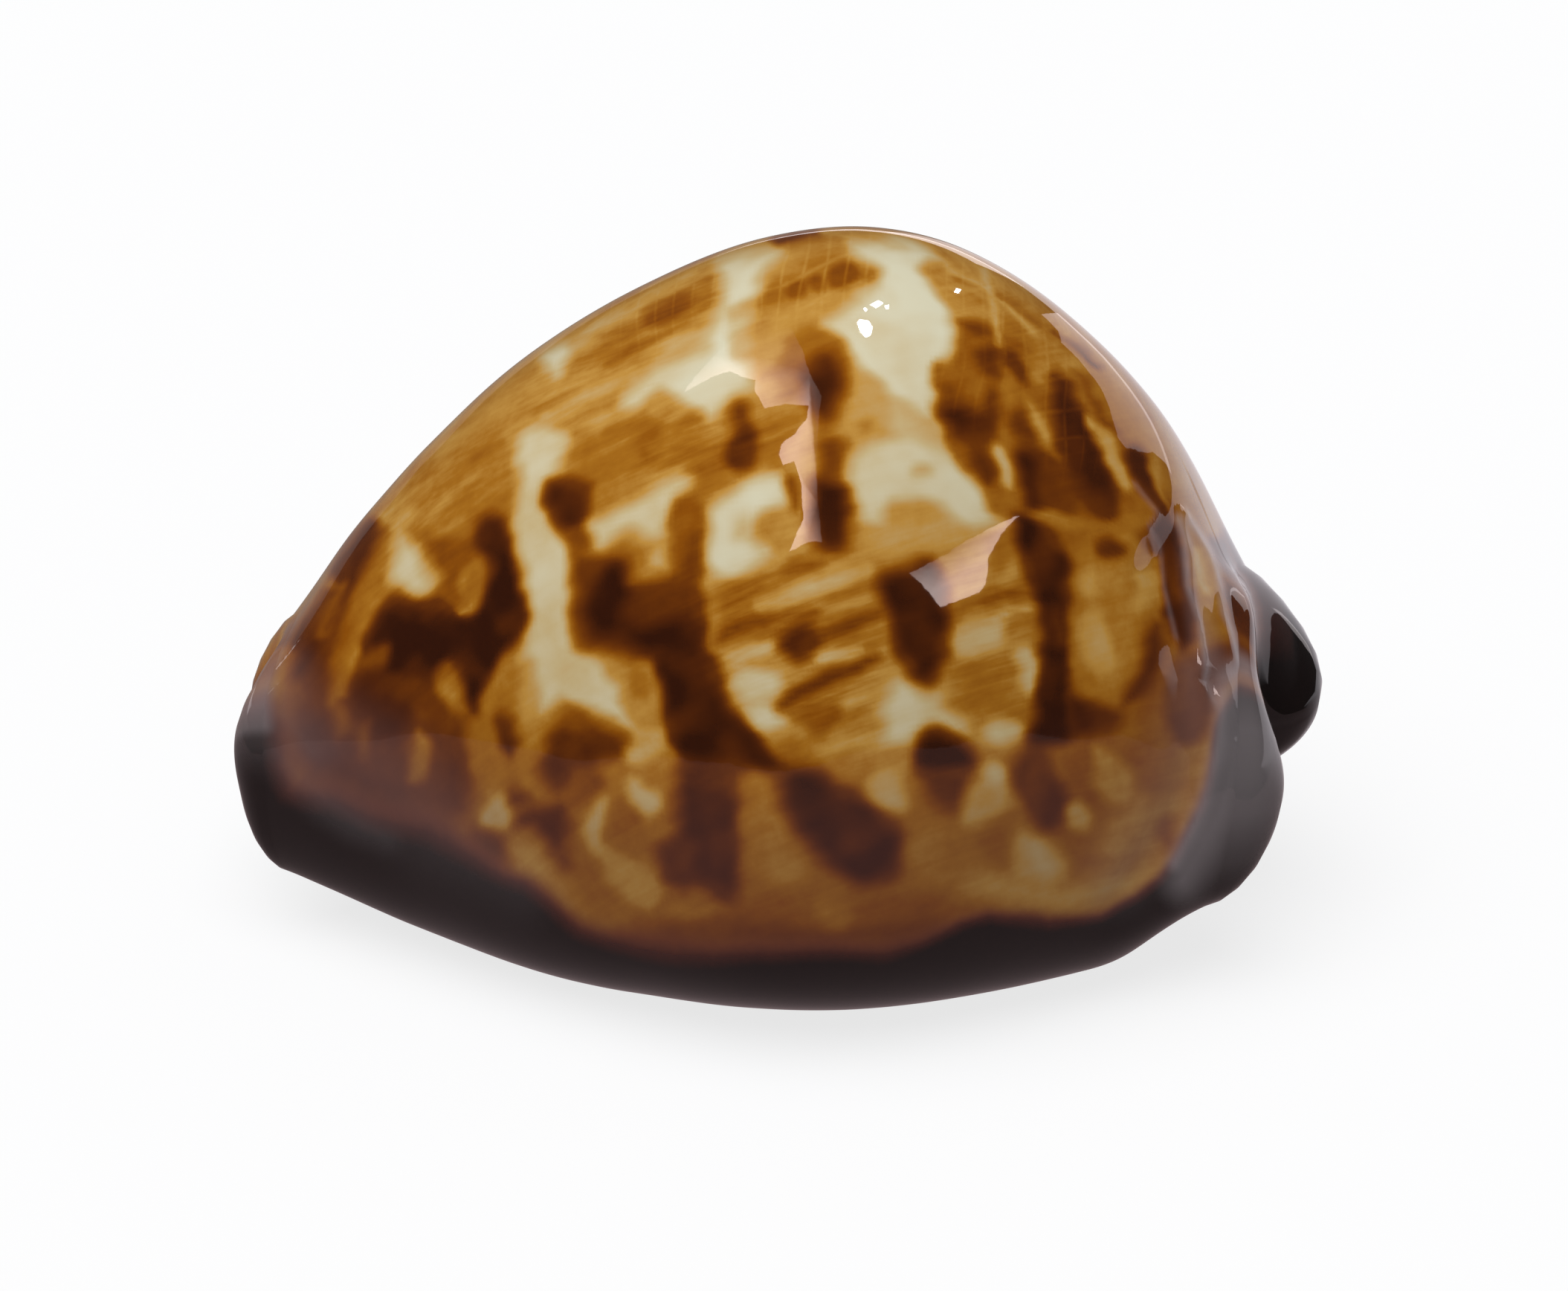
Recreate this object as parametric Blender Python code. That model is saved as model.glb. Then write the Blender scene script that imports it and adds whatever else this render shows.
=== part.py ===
"""A humped cowrie shell, Zoila decipiens, resting on its toothed base.

The shell grew as one piece, so it is one solid. It is a thick sheet that is wrapped round a hollow:
from the outer lip, round the outside and over the back, to the inner lip. The slot between the two
lips runs along the underside and leaves through a canal at each end.

Metres, +Z up. +X is the spire end and -X the front end. +Y is the side of the outer lip. The origin
is on the surface that the shell rests on, under the middle of its bounding box.
"""

import math

import bmesh
import bpy
import numpy as np
from mathutils import Matrix, Vector

# Driving dimensions
LENGTH = 0.0578
WIDTH = 0.0380
HEIGHT = 0.0378

# Curves along the shell, as (place, value): place 0 is the front end and place 1 the spire end
BACK_HEIGHT = [  # in shell heights
    (0.0, 0.435), (0.05, 0.528), (0.12, 0.627), (0.22, 0.765), (0.34, 0.884), (0.46, 0.964),
    (0.58, 1.0), (0.68, 0.983), (0.78, 0.912), (0.88, 0.790), (0.95, 0.664), (1.0, 0.515),
]
INNER_SIDE = [  # from the middle out to the margin on the inner lip's side, in shell widths
    (0.0, 0.15), (0.06, 0.20), (0.14, 0.263), (0.26, 0.37), (0.4, 0.464),
    (0.54, 0.515), (0.68, 0.475), (0.8, 0.388), (0.9, 0.315), (0.96, 0.285), (1.0, 0.255),
]
OUTER_SIDE = [  # the same on the outer lip's side
    (0.0, 0.15), (0.06, 0.20), (0.14, 0.263), (0.26, 0.365), (0.4, 0.452),
    (0.54, 0.485), (0.68, 0.465), (0.8, 0.40), (0.9, 0.325), (0.96, 0.28), (1.0, 0.24),
]
INNER_MARGIN = [(0.0, 0.235), (0.15, 0.25), (0.4, 0.265), (0.6, 0.27), (0.8, 0.255), (0.92, 0.23), (1.0, 0.21)]
OUTER_MARGIN = [(0.0, 0.235), (0.15, 0.25), (0.4, 0.265), (0.6, 0.27), (0.8, 0.28), (0.92, 0.315), (1.0, 0.366)]
BASE_HEIGHT = [
    (0.0, 0.092), (0.1, 0.062), (0.22, 0.025), (0.36, 0.001), (0.5, 0.0),
    (0.64, 0.001), (0.78, 0.015), (0.9, 0.05), (1.0, 0.115),
]
SLOT_MIDDLE = [  # in shell widths
    (0.0, -0.005), (0.2, 0.02), (0.45, 0.036), (0.7, 0.022), (0.88, -0.02), (1.0, -0.045),
]
BACK_POWER = 2.05
BASE_POWER = 2.5
LIP_LIFT = 0.0013  # the base sinks this much beside the slot, so that its lips stand clear of the ground
LIFT_POWER = 26
REST_DEPTH = 0.00025  # worn off the lowest spots of the base, which leaves flat faces to rest on

# The slot, and the lips that roll into it
SLOT_WIDTH = [(0.0, 0.0026), (0.15, 0.0035), (0.4, 0.0034), (0.8, 0.0028), (1.0, 0.0024)]
LIP_REACH = [(0.0, 0.0012), (0.2, 0.0020), (0.8, 0.0019), (1.0, 0.0010)]
LIP_DEPTH = [(0.0, 0.0026), (0.2, 0.0040), (0.8, 0.0042), (1.0, 0.0030)]

# The hollow: a wide body chamber that narrows to a canal over the slot at each end
HOLLOW_HEIGHT = [
    (0.0, 0.0096), (0.1, 0.0165), (0.22, 0.0262), (0.34, 0.0312), (0.46, 0.0346),
    (0.58, 0.0359), (0.68, 0.0348), (0.8, 0.0290), (0.9, 0.0190), (1.0, 0.0137),
]
HOLLOW_SIDE = [
    (0.0, 0.0019), (0.1, 0.0054), (0.25, 0.0118), (0.4, 0.0154),
    (0.55, 0.0170), (0.7, 0.0152), (0.82, 0.0095), (0.91, 0.0039), (1.0, 0.0017),
]
HOLLOW_WAIST = [(0.0, 0.0072), (0.2, 0.0100), (0.5, 0.0115), (0.8, 0.0115), (1.0, 0.0105)]

# Across the sheet, from the outer lip (0) over the back (0.5) to the inner lip (1): how far the rim
# of each end stands back from the shell's full length, and how far it swells out as it rounds over
FRONT_SETBACK = [
    (0.0, 0.0018), (0.1, 0.0004), (0.2, 0.0), (0.37, 0.0001), (0.5, 0.0011),
    (0.63, 0.0001), (0.8, 0.0), (0.9, 0.0004), (1.0, 0.0018),
]
FRONT_REACH = [
    (0.0, 0.0012), (0.2, 0.0018), (0.38, 0.0018), (0.5, 0.0012), (0.62, 0.0018), (0.8, 0.0018), (1.0, 0.0012),
]
SPIRE_SETBACK = [
    (0.0, 0.0042), (0.12, 0.0026), (0.2, 0.0012), (0.32, 0.0), (0.5, 0.0010),
    (0.7, 0.0008), (0.88, 0.0020), (1.0, 0.0042),
]
SPIRE_REACH = [(0.0, 0.0014), (0.33, 0.0040), (0.5, 0.0012), (0.77, 0.0028), (1.0, 0.0014)]
FRONT_ROOM = 0.0014
SPIRE_ROOM = 0.0027
END_SHARE = 0.16
END_PULL = 1.5  # how strongly the rims of the ends swell along the shell, rather than on down its slope

# Relief at the spire end, on the inner lip's side, as (x, z) points in metres with a height. The callus
# round the spire starts at a groove, and a low knob stands where the spire is buried.
CALLUS_GROOVE = [
    (0.0210, 0.0240), (0.0222, 0.0205), (0.0228, 0.0170), (0.0230, 0.0145),
    (0.0222, 0.0118), (0.0208, 0.0095), (0.0190, 0.0072),
]
GROOVE_WIDTH = 0.0013
GROOVE_DEPTH = 0.0005
SPIRE_KNOB = (0.0250, -0.0015, 0.0175)
KNOB_RADIUS = 0.0024
KNOB_HEIGHT = 0.0010

# Teeth: short ridges across each lip, as places along the shell
OUTER_TEETH = 23
INNER_TEETH = 19
FIRST_TOOTH = 0.06
LAST_TOOTH = 0.89
TOOTH_LENGTH = 0.0030
TOOTH_WIDTH = 0.0011
TOOTH_HEIGHT = 0.0009  # of the whole ridge, most of which is sunk in the lip
TOOTH_RISE = 0.0004
TOOTH_TURN = math.radians(55)  # how far round the lip's edge the middle of a tooth sits
INNER_TOOTH_SCALE = [(0.0, 0.95), (0.35, 0.8), (0.7, 0.62), (1.0, 0.7)]

SHELL_COLOUR = (0.24, 0.12, 0.05)

# Resolution of the solid
STATIONS = 47
COLUMNS = 51
RIM_ROWS = 4
STATION_CROWDING = 0.6  # how far the stations crowd towards the ends, from 0 for evenly spaced
QUARTER_STEPS = 90


def through(points, at):
    """The smooth curve (a natural cubic spline) through hand-set points."""
    place, value = np.array(points).T
    gap = np.diff(place)
    slope = np.diff(value) / gap
    system = np.eye(len(place))
    bend = np.zeros(len(place))
    for i in range(1, len(place) - 1):
        system[i, i - 1 : i + 2] = gap[i - 1], 2 * (gap[i - 1] + gap[i]), gap[i]
        bend[i] = 6 * (slope[i] - slope[i - 1])
    bend = np.linalg.solve(system, bend)
    i = np.clip(np.searchsorted(place, at) - 1, 0, len(place) - 2)
    up = (at - place[i]) / gap[i]
    down = 1 - up
    curve = ((down**3 - down) * bend[i] + (up**3 - up) * bend[i + 1]) * gap[i] ** 2 / 6
    return down * value[i] + up * value[i + 1] + curve


def ramp(low, high, at):
    """0 below low, 1 above high, and smooth between them."""
    t = np.clip((at - low) / (high - low), 0, 1)
    return t * t * (3 - 2 * t)


def unit(vectors):
    return vectors / np.maximum(np.linalg.norm(vectors, axis=-1, keepdims=True), 1e-12)


def quarter(level, upright, power, lift=0.0):
    """A quarter of a superellipse, from the point where it runs level to the point where it is upright."""
    turn = np.linspace(0, math.pi / 2, QUARTER_STEPS)
    y = level[0] + (upright[0] - level[0]) * np.sin(turn) ** (2 / power)
    z = upright[1] + (level[1] - upright[1]) * np.cos(turn) ** (2 / power)
    return np.stack([y, z + lift * np.cos(turn) ** LIFT_POWER], axis=-1)


def four_quarters(outer_lip, outer, top, inner, inner_lip, lift):
    """An outline from the outer lip over the top to the inner lip, through the widest point of each side."""
    return np.concatenate([
        quarter(outer_lip, outer, BASE_POWER, lift)[:-1],
        quarter(top, outer, BACK_POWER)[:0:-1],
        quarter(top, inner, BACK_POWER)[:-1],
        quarter(inner_lip, inner, BASE_POWER, lift)[::-1],
    ])


def section(along):
    """The outside's cross-section at this place, from the outer lip over the back to the inner lip."""
    top = (0.0, HEIGHT * through(BACK_HEIGHT, along))
    base = HEIGHT * max(through(BASE_HEIGHT, along), 0)
    slot = WIDTH * through(SLOT_MIDDLE, along)
    half = through(SLOT_WIDTH, along) / 2 + through(LIP_REACH, along)
    outer = (WIDTH * through(OUTER_SIDE, along), HEIGHT * through(OUTER_MARGIN, along))
    inner = (-WIDTH * through(INNER_SIDE, along), HEIGHT * through(INNER_MARGIN, along))
    return four_quarters((slot + half, base), outer, top, inner, (slot - half, base), LIP_LIFT)


def hollow_section(along):
    """The hollow's cross-section at this place, in the same order."""
    floor = HEIGHT * max(through(BASE_HEIGHT, along), 0) + through(LIP_DEPTH, along)
    slot = WIDTH * through(SLOT_MIDDLE, along)
    half = through(SLOT_WIDTH, along) / 2 + through(LIP_REACH, along) / 2
    side, waist = through(HOLLOW_SIDE, along), through(HOLLOW_WAIST, along)
    middle = slot * ramp(0.55, 0.9, abs(2 * along - 1))
    top = (middle, through(HOLLOW_HEIGHT, along))
    sides = [(middle + side, waist), (middle - side, waist)]
    return four_quarters((slot + half, floor), sides[0], top, sides[1], (slot - half, floor), 0.0)


def grid(outline, along, across):
    """A sheet's points: an outline at each station, with evenly spaced columns across it."""
    points = np.zeros((len(along), len(across), 3))
    for i, place in enumerate(along):
        dense = outline(place)
        walked = np.concatenate([[0.0], np.cumsum(np.linalg.norm(np.diff(dense, axis=0), axis=1))])
        for axis in (0, 1):
            points[i, :, axis + 1] = np.interp(across * walked[-1], walked, dense[:, axis])
    front = -LENGTH / 2 + FRONT_ROOM + through(FRONT_SETBACK, across)
    spire = LENGTH / 2 - SPIRE_ROOM - through(SPIRE_SETBACK, across)
    s = along[:, None]
    points[:, :, 0] = front.min() + (spire.max() - front.min()) * s
    points[:, :, 0] += (front - front.min()) * (1 - ramp(0, END_SHARE, s))
    points[:, :, 0] += (spire - spire.max()) * ramp(1 - END_SHARE, 1, s)
    return points


def relief(points):
    """How far the outside stands above its plain form: the groove round the spire's callus, and its knob."""
    flat = points[..., (0, 2)]
    near = np.full(points.shape[:-1], np.inf)
    for start, end in zip(CALLUS_GROOVE, CALLUS_GROOVE[1:]):
        run = np.subtract(end, start)
        share = np.clip((flat - start) @ run / (run @ run), 0, 1)
        near = np.minimum(near, np.linalg.norm(flat - start - share[..., None] * run, axis=-1))
    groove = -GROOVE_DEPTH * np.exp(-((near / GROOVE_WIDTH) ** 2)) * (points[..., 1] < 0)
    away = np.linalg.norm(points - np.array(SPIRE_KNOB), axis=-1)
    return groove + KNOB_HEIGHT * np.exp(-((away / KNOB_RADIUS) ** 2))


def border(stations, columns, step):
    """Every step-th point of the grid's border, once round."""
    last_s, last_c = stations - 1, columns - 1
    ring = [(0, j) for j in range(0, last_c, step)]
    ring += [(i, last_c) for i in range(0, last_s, step)]
    ring += [(last_s, j) for j in range(last_c, 0, -step)]
    ring += [(i, 0) for i in range(last_s, 0, -step)]
    return ring


def rim_reach(ring, along, across):
    """How far the rim swells out past each point of the border."""
    lip, front, spire = through(LIP_REACH, along), through(FRONT_REACH, across), through(SPIRE_REACH, across)
    last = len(along) - 1
    return np.array([front[j] if i == 0 else spire[j] if i == last else lip[i] for i, j in ring])


class Sheet:
    """The shell as a sheet: an outside, a coarser inside, and a round rim that joins their borders."""

    def __init__(self, stations, columns):
        even = np.linspace(0, 1, stations)
        self.along = even + STATION_CROWDING * ((1 - np.cos(math.pi * even)) / 2 - even)
        self.across = np.linspace(0, 1, columns)
        outer = grid(section, self.along, self.across)
        facing = unit(np.cross(np.gradient(outer, axis=1), np.gradient(outer, axis=0)))
        self.outer = outer + facing * relief(outer)[..., None]
        self.inner = grid(hollow_section, self.along, self.across)
        self.ring = border(stations, columns, 1)
        self.start = np.array([self.outer[point] for point in self.ring])
        self.end = np.array([self.inner[point] for point in self.ring])
        out = np.array([facing[point] for point in self.ring])
        forward = np.roll(self.start, -1, axis=0) - np.roll(self.start, 1, axis=0)
        away = unit(np.cross(forward, out))
        away[:, 0] += END_PULL * np.array([(i == stations - 1) - (i == 0) for i, _ in self.ring])
        self.swell = unit(away) * rim_reach(self.ring, self.along, self.across)[:, None]

    def rim(self, turn):
        """The ring of points on the rim at this turn: 0 is the outside's border and pi the inside's."""
        middle, reach = (self.start + self.end) / 2, (self.start - self.end) / 2
        return middle + reach * math.cos(turn) + self.swell * math.sin(turn)

    def points(self, rim_rows):
        rows = [self.rim(math.pi * r / rim_rows) for r in range(1, rim_rows)]
        return np.concatenate([self.outer.reshape(-1, 3), self.inner[::2, ::2].reshape(-1, 3)] + rows)

    def faces(self, rim_rows):
        stations, columns = len(self.along), len(self.across)
        first, width = stations * columns, (columns + 1) // 2
        found = []
        for i in range(stations - 1):
            for j in range(columns - 1):
                a, b = i * columns + j, (i + 1) * columns + j
                found.append((a, a + 1, b + 1, b))
        for i in range(stations // 2):
            for j in range(columns // 2):
                a, b = first + i * width + j, first + (i + 1) * width + j
                found.append((a, b, b + 1, a + 1))
        row = [i * columns + j for i, j in self.ring]
        size, count = len(row), first + width * (stations // 2 + 1)
        for _ in range(1, rim_rows):
            after = list(range(count, count + size))
            found += [(row[k], after[k], after[(k + 1) % size], row[(k + 1) % size]) for k in range(size)]
            row, count = after, count + size
        inside = [first + (i // 2) * width + j // 2 for i, j in border(stations, columns, 2)]
        for k in range(len(inside)):
            a, b, c = row[2 * k], row[2 * k + 1], row[(2 * k + 2) % size]
            here, after = inside[k], inside[(k + 1) % len(inside)]
            found += [(a, here, b), (b, here, after), (b, after, c)]
        return found


class Fit:
    """Stretches points a little to the driving dimensions and sets them on the resting surface."""

    def __init__(self, points):
        low, high = points.min(axis=0), points.max(axis=0)
        low[2] += REST_DEPTH
        self.middle = np.array([(low[0] + high[0]) / 2, (low[1] + high[1]) / 2, low[2]])
        self.stretch = np.array([LENGTH, WIDTH, HEIGHT]) / (high - low)

    def __call__(self, points):
        return (points - self.middle) * self.stretch


def teeth(sheet, fit):
    """Each tooth as a matrix that turns a unit ball into it."""
    middle, rim = fit((sheet.start + sheet.end) / 2), fit(sheet.rim(TOOTH_TURN))
    further = fit(sheet.rim(TOOTH_TURN + 0.1))
    lips = {0: OUTER_TEETH, len(sheet.across) - 1: INNER_TEETH}
    for column, count in lips.items():
        lip = sorted((i, k) for k, (i, j) in enumerate(sheet.ring) if j == column)
        ring = [k for _, k in lip]
        for place in np.linspace(FIRST_TOOTH, LAST_TOOTH, count):
            here = [
                np.array([np.interp(place, sheet.along, line[ring, axis]) for axis in range(3)])
                for line in (middle, rim, further)
            ]
            size = 1.0 if column == 0 else float(through(INNER_TOOTH_SCALE, place))
            outward, across = Vector(here[1] - here[0]).normalized(), Vector(here[2] - here[1]).normalized()
            along = outward.cross(across).normalized()
            across = along.cross(outward)
            turned = Matrix((along, across, outward)).transposed().to_4x4()
            half = Matrix.Diagonal((size * TOOTH_WIDTH / 2, size * TOOTH_LENGTH / 2, size * TOOTH_HEIGHT, 1))
            centre = Vector(here[1]) - outward * (TOOTH_HEIGHT - TOOTH_RISE) * size
            yield Matrix.Translation(centre) @ turned @ half


def mesh_object(name, build):
    """An object whose mesh the function build makes."""
    mesh = bpy.data.meshes.new(name)
    made = bmesh.new()
    build(made)
    bmesh.ops.recalc_face_normals(made, faces=made.faces)
    made.to_mesh(mesh)
    made.free()
    thing = bpy.data.objects.new(name, mesh)
    bpy.context.scene.collection.objects.link(thing)
    return thing


def shell_body(sheet, fit):
    def build(made):
        points = fit(sheet.points(RIM_ROWS))
        points[:, 2] = np.maximum(points[:, 2], 0)
        corners = [made.verts.new(point) for point in points]
        for face in sheet.faces(RIM_ROWS):
            made.faces.new([corners[k] for k in face])

    return mesh_object("shell", build)


def tooth_row(sheet, fit):
    def build(made):
        for tooth in teeth(sheet, fit):
            bmesh.ops.create_icosphere(made, subdivisions=1, radius=1.0, matrix=tooth)

    row = mesh_object("teeth", build)
    row.hide_render = True
    row.display_type = "WIRE"
    return row


def shell_material():
    material = bpy.data.materials.new("polished shell")
    material.use_nodes = True
    finish = material.node_tree.nodes["Principled BSDF"].inputs
    finish["Base Color"].default_value = (*SHELL_COLOUR, 1.0)
    finish["Roughness"].default_value = 0.12
    finish["Metallic"].default_value = 0.0
    return material


def main():
    for old in list(bpy.data.objects):
        bpy.data.objects.remove(old)
    sheet = Sheet(STATIONS, COLUMNS)
    fit = Fit(sheet.points(RIM_ROWS))
    shell = shell_body(sheet, fit)
    shell.data.materials.append(shell_material())
    union = shell.modifiers.new("teeth", "BOOLEAN")
    union.operation = "UNION"
    union.solver = "EXACT"
    union.object = tooth_row(sheet, fit)
    shell.data.shade_smooth()
    shell.data.set_sharp_from_angle(angle=math.radians(40))


if __name__ == "__main__":
    main()
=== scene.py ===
"""The looks of a humped cowrie shell, Zoila decipiens, that rests on its toothed base.

The shell is one piece, so one fine mesh stands for the solid: the same sheet round the same hollow, with
the teeth, the folds of the callus and the slight unevenness of its enamel. The markings lie in the enamel
and aren't raised. Each point of the mesh holds a depth of pigment, painted with soft marks, and the
material turns it into cream, caramel, golden brown or dark brown.

Metres, +Z up. +X is the spire end and -X the front end. +Y is the side of the outer lip.
"""

import math

import bpy
import numpy as np
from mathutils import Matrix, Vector, noise


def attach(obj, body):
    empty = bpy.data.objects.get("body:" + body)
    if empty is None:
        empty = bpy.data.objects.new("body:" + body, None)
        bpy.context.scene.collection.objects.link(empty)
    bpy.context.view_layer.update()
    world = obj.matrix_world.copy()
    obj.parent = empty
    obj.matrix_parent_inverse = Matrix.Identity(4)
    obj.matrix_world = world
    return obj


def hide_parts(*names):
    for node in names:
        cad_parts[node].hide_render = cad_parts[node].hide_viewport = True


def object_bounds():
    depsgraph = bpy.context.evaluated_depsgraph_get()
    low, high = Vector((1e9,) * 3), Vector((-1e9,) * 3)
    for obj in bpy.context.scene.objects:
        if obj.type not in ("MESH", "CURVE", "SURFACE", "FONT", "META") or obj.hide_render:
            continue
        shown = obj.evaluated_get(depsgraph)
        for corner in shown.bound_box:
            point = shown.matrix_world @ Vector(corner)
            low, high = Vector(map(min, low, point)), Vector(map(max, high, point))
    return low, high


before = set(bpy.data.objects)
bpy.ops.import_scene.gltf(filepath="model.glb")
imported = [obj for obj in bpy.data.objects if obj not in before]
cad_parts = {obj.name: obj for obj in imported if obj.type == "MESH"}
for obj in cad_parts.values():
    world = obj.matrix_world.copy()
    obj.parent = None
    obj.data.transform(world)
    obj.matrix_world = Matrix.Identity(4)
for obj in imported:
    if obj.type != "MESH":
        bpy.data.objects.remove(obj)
solid_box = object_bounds()

# The shell's size, from the solid
LENGTH, WIDTH, HEIGHT = solid_box[1] - solid_box[0]

# The view: the photograph's frame in pixels, and where the camera stands
PHOTO_WIDTH, PHOTO_HEIGHT = 2109, 1736
AZIMUTH = math.radians(3)
ELEVATION = math.radians(24)
DISTANCE = 0.280
TARGET = np.array([0.0, 0.0, 0.017])
TARGET_PIXEL = np.array([1048.5, 828.0])
PIXELS_PER_METRE = 25500  # at the target
SENSOR = 36.0  # in millimetres
CLIP_START = 0.01

# Curves along the shell, as (place, value): place 0 is the front end and place 1 the spire end. Heights
# are in shell heights and distances across in shell widths. The margins are where each side is widest.
BACK_HEIGHT = [
    (0.0, 0.435), (0.05, 0.528), (0.12, 0.627), (0.22, 0.765), (0.34, 0.884), (0.46, 0.964),
    (0.58, 1.0), (0.68, 0.983), (0.78, 0.912), (0.88, 0.790), (0.95, 0.664), (1.0, 0.515),
]
INNER_SIDE = [  # from the middle out to the margin on the inner lip's side
    (0.0, 0.15), (0.06, 0.20), (0.14, 0.263), (0.26, 0.37), (0.4, 0.464),
    (0.54, 0.515), (0.68, 0.475), (0.8, 0.388), (0.9, 0.315), (0.96, 0.285), (1.0, 0.255),
]
OUTER_SIDE = [  # the same on the outer lip's side
    (0.0, 0.15), (0.06, 0.20), (0.14, 0.263), (0.26, 0.365), (0.4, 0.452),
    (0.54, 0.485), (0.68, 0.465), (0.8, 0.40), (0.9, 0.325), (0.96, 0.28), (1.0, 0.24),
]
INNER_MARGIN = [
    (0.0, 0.235), (0.15, 0.25), (0.4, 0.265), (0.6, 0.27), (0.8, 0.255), (0.92, 0.23), (1.0, 0.21),
]
OUTER_MARGIN = [
    (0.0, 0.235), (0.15, 0.25), (0.4, 0.265), (0.6, 0.27), (0.8, 0.28), (0.92, 0.315), (1.0, 0.366),
]
BASE_HEIGHT = [
    (0.0, 0.092), (0.1, 0.062), (0.22, 0.025), (0.36, 0.001), (0.5, 0.0),
    (0.64, 0.001), (0.78, 0.015), (0.9, 0.05), (1.0, 0.115),
]
SLOT_MIDDLE = [
    (0.0, -0.005), (0.2, 0.02), (0.45, 0.036), (0.7, 0.022), (0.88, -0.02), (1.0, -0.045),
]
BACK_POWER = 2.05  # the higher, the squarer the curve from the back to the margins
BASE_POWER = 2.5  # the same from the margins to the lips
LIP_LIFT = 0.0013  # how far the base turns up at its lips, in metres
LIFT_POWER = 26  # the higher, the closer to the lips it turns up
REST_DEPTH = 0.00025  # worn off the lowest spots of the base

# The slot and its lips, the hollow behind them and the rims of both ends, in metres. The curves of the
# ends run across, from the outer lip over the back to the inner lip.
SLOT_WIDTH = [(0.0, 0.0026), (0.15, 0.0035), (0.4, 0.0034), (0.8, 0.0028), (1.0, 0.0024)]
LIP_REACH = [(0.0, 0.0012), (0.2, 0.0020), (0.8, 0.0019), (1.0, 0.0010)]
LIP_DEPTH = [(0.0, 0.0026), (0.2, 0.0040), (0.8, 0.0042), (1.0, 0.0030)]
HOLLOW_HEIGHT = [
    (0.0, 0.0096), (0.1, 0.0165), (0.22, 0.0262), (0.34, 0.0312), (0.46, 0.0346),
    (0.58, 0.0359), (0.68, 0.0348), (0.8, 0.0290), (0.9, 0.0190), (1.0, 0.0137),
]
HOLLOW_SIDE = [
    (0.0, 0.0019), (0.1, 0.0054), (0.25, 0.0118), (0.4, 0.0154),
    (0.55, 0.0170), (0.7, 0.0152), (0.82, 0.0095), (0.91, 0.0039), (1.0, 0.0017),
]
HOLLOW_TURN = (0.55, 0.9)  # from the middle to the ends: where it moves over to the slot
HOLLOW_WAIST = [(0.0, 0.0072), (0.2, 0.0100), (0.5, 0.0115), (0.8, 0.0115), (1.0, 0.0105)]
FRONT_SETBACK = [
    (0.0, 0.0018), (0.1, 0.0004), (0.2, 0.0), (0.37, 0.0001), (0.5, 0.0011),
    (0.63, 0.0001), (0.8, 0.0), (0.9, 0.0004), (1.0, 0.0018),
]
FRONT_REACH = [
    (0.0, 0.0012), (0.2, 0.0018), (0.38, 0.0018), (0.5, 0.0012), (0.62, 0.0018), (0.8, 0.0018), (1.0, 0.0012),
]
SPIRE_SETBACK = [
    (0.0, 0.0042), (0.12, 0.0026), (0.2, 0.0012), (0.32, 0.0), (0.5, 0.0010),
    (0.7, 0.0008), (0.88, 0.0020), (1.0, 0.0042),
]
SPIRE_REACH = [(0.0, 0.0014), (0.33, 0.0040), (0.5, 0.0012), (0.77, 0.0028), (1.0, 0.0014)]
FRONT_ROOM = 0.0014  # left at each end for the swell of its rim
SPIRE_ROOM = 0.0027
END_SHARE = 0.16  # how far from each end its setback reaches, as a place along the shell
END_PULL = 1.5  # how far the swell of the ends' rims turns lengthwise

# The groove round the spire's callus, as (x, z) points, and the knob where the spire is buried
CALLUS_GROOVE = [
    (0.0210, 0.0240), (0.0222, 0.0205), (0.0228, 0.0170), (0.0230, 0.0145),
    (0.0222, 0.0118), (0.0208, 0.0095), (0.0190, 0.0072),
]
GROOVE_WIDTH = 0.0013
GROOVE_DEPTH = 0.0005
SPIRE_KNOB = (0.0250, -0.0015, 0.0175)
KNOB_RADIUS = 0.0024
KNOB_HEIGHT = 0.0010

# Teeth: short ridges across each lip
OUTER_TEETH = 23
INNER_TEETH = 19
FIRST_TOOTH = 0.06  # places along the shell
LAST_TOOTH = 0.90
TOOTH_RISE = 0.00042
TOOTH_SPREAD = 0.0026  # how far the teeth of the outer lip run out over the base
INNER_TOOTH_SPREAD = 0.6 * TOOTH_SPREAD
INNER_TOOTH_SCALE = [(0.0, 0.95), (0.35, 0.8), (0.7, 0.62), (1.0, 0.5)]
TOOTH_SHARPNESS = 1.4
TOOTH_CREST = 0.2  # the share of their spread that they run at full height
TOOTH_COLUMNS = 24  # the columns beside each lip that they may cross
TOOTH_TURN = (math.radians(105), math.radians(165))  # where they fade on their way round the rim
ROW_FADE = (0.45, 0.75)  # how far past its last tooth a row fades, in teeth

# The mesh: one step of the inside spans four steps of the outside. The stations lie closer together
# towards both ends, and the columns where their density is higher, as (share, density).
STATIONS = 257
COLUMNS = 309
COARSE = 4
RIM_ROWS = 10
STATION_CROWDING = 0.25
COLUMN_DENSITY = [(0.0, 1.2), (0.08, 0.9), (0.38, 0.9), (0.5, 1.6), (0.85, 1.6), (0.92, 1.0), (1.0, 1.2)]
QUARTER_STEPS = 140
SPREAD_STEPS = 2000
TINY = 1e-12  # the least length that anything is divided by

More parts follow.
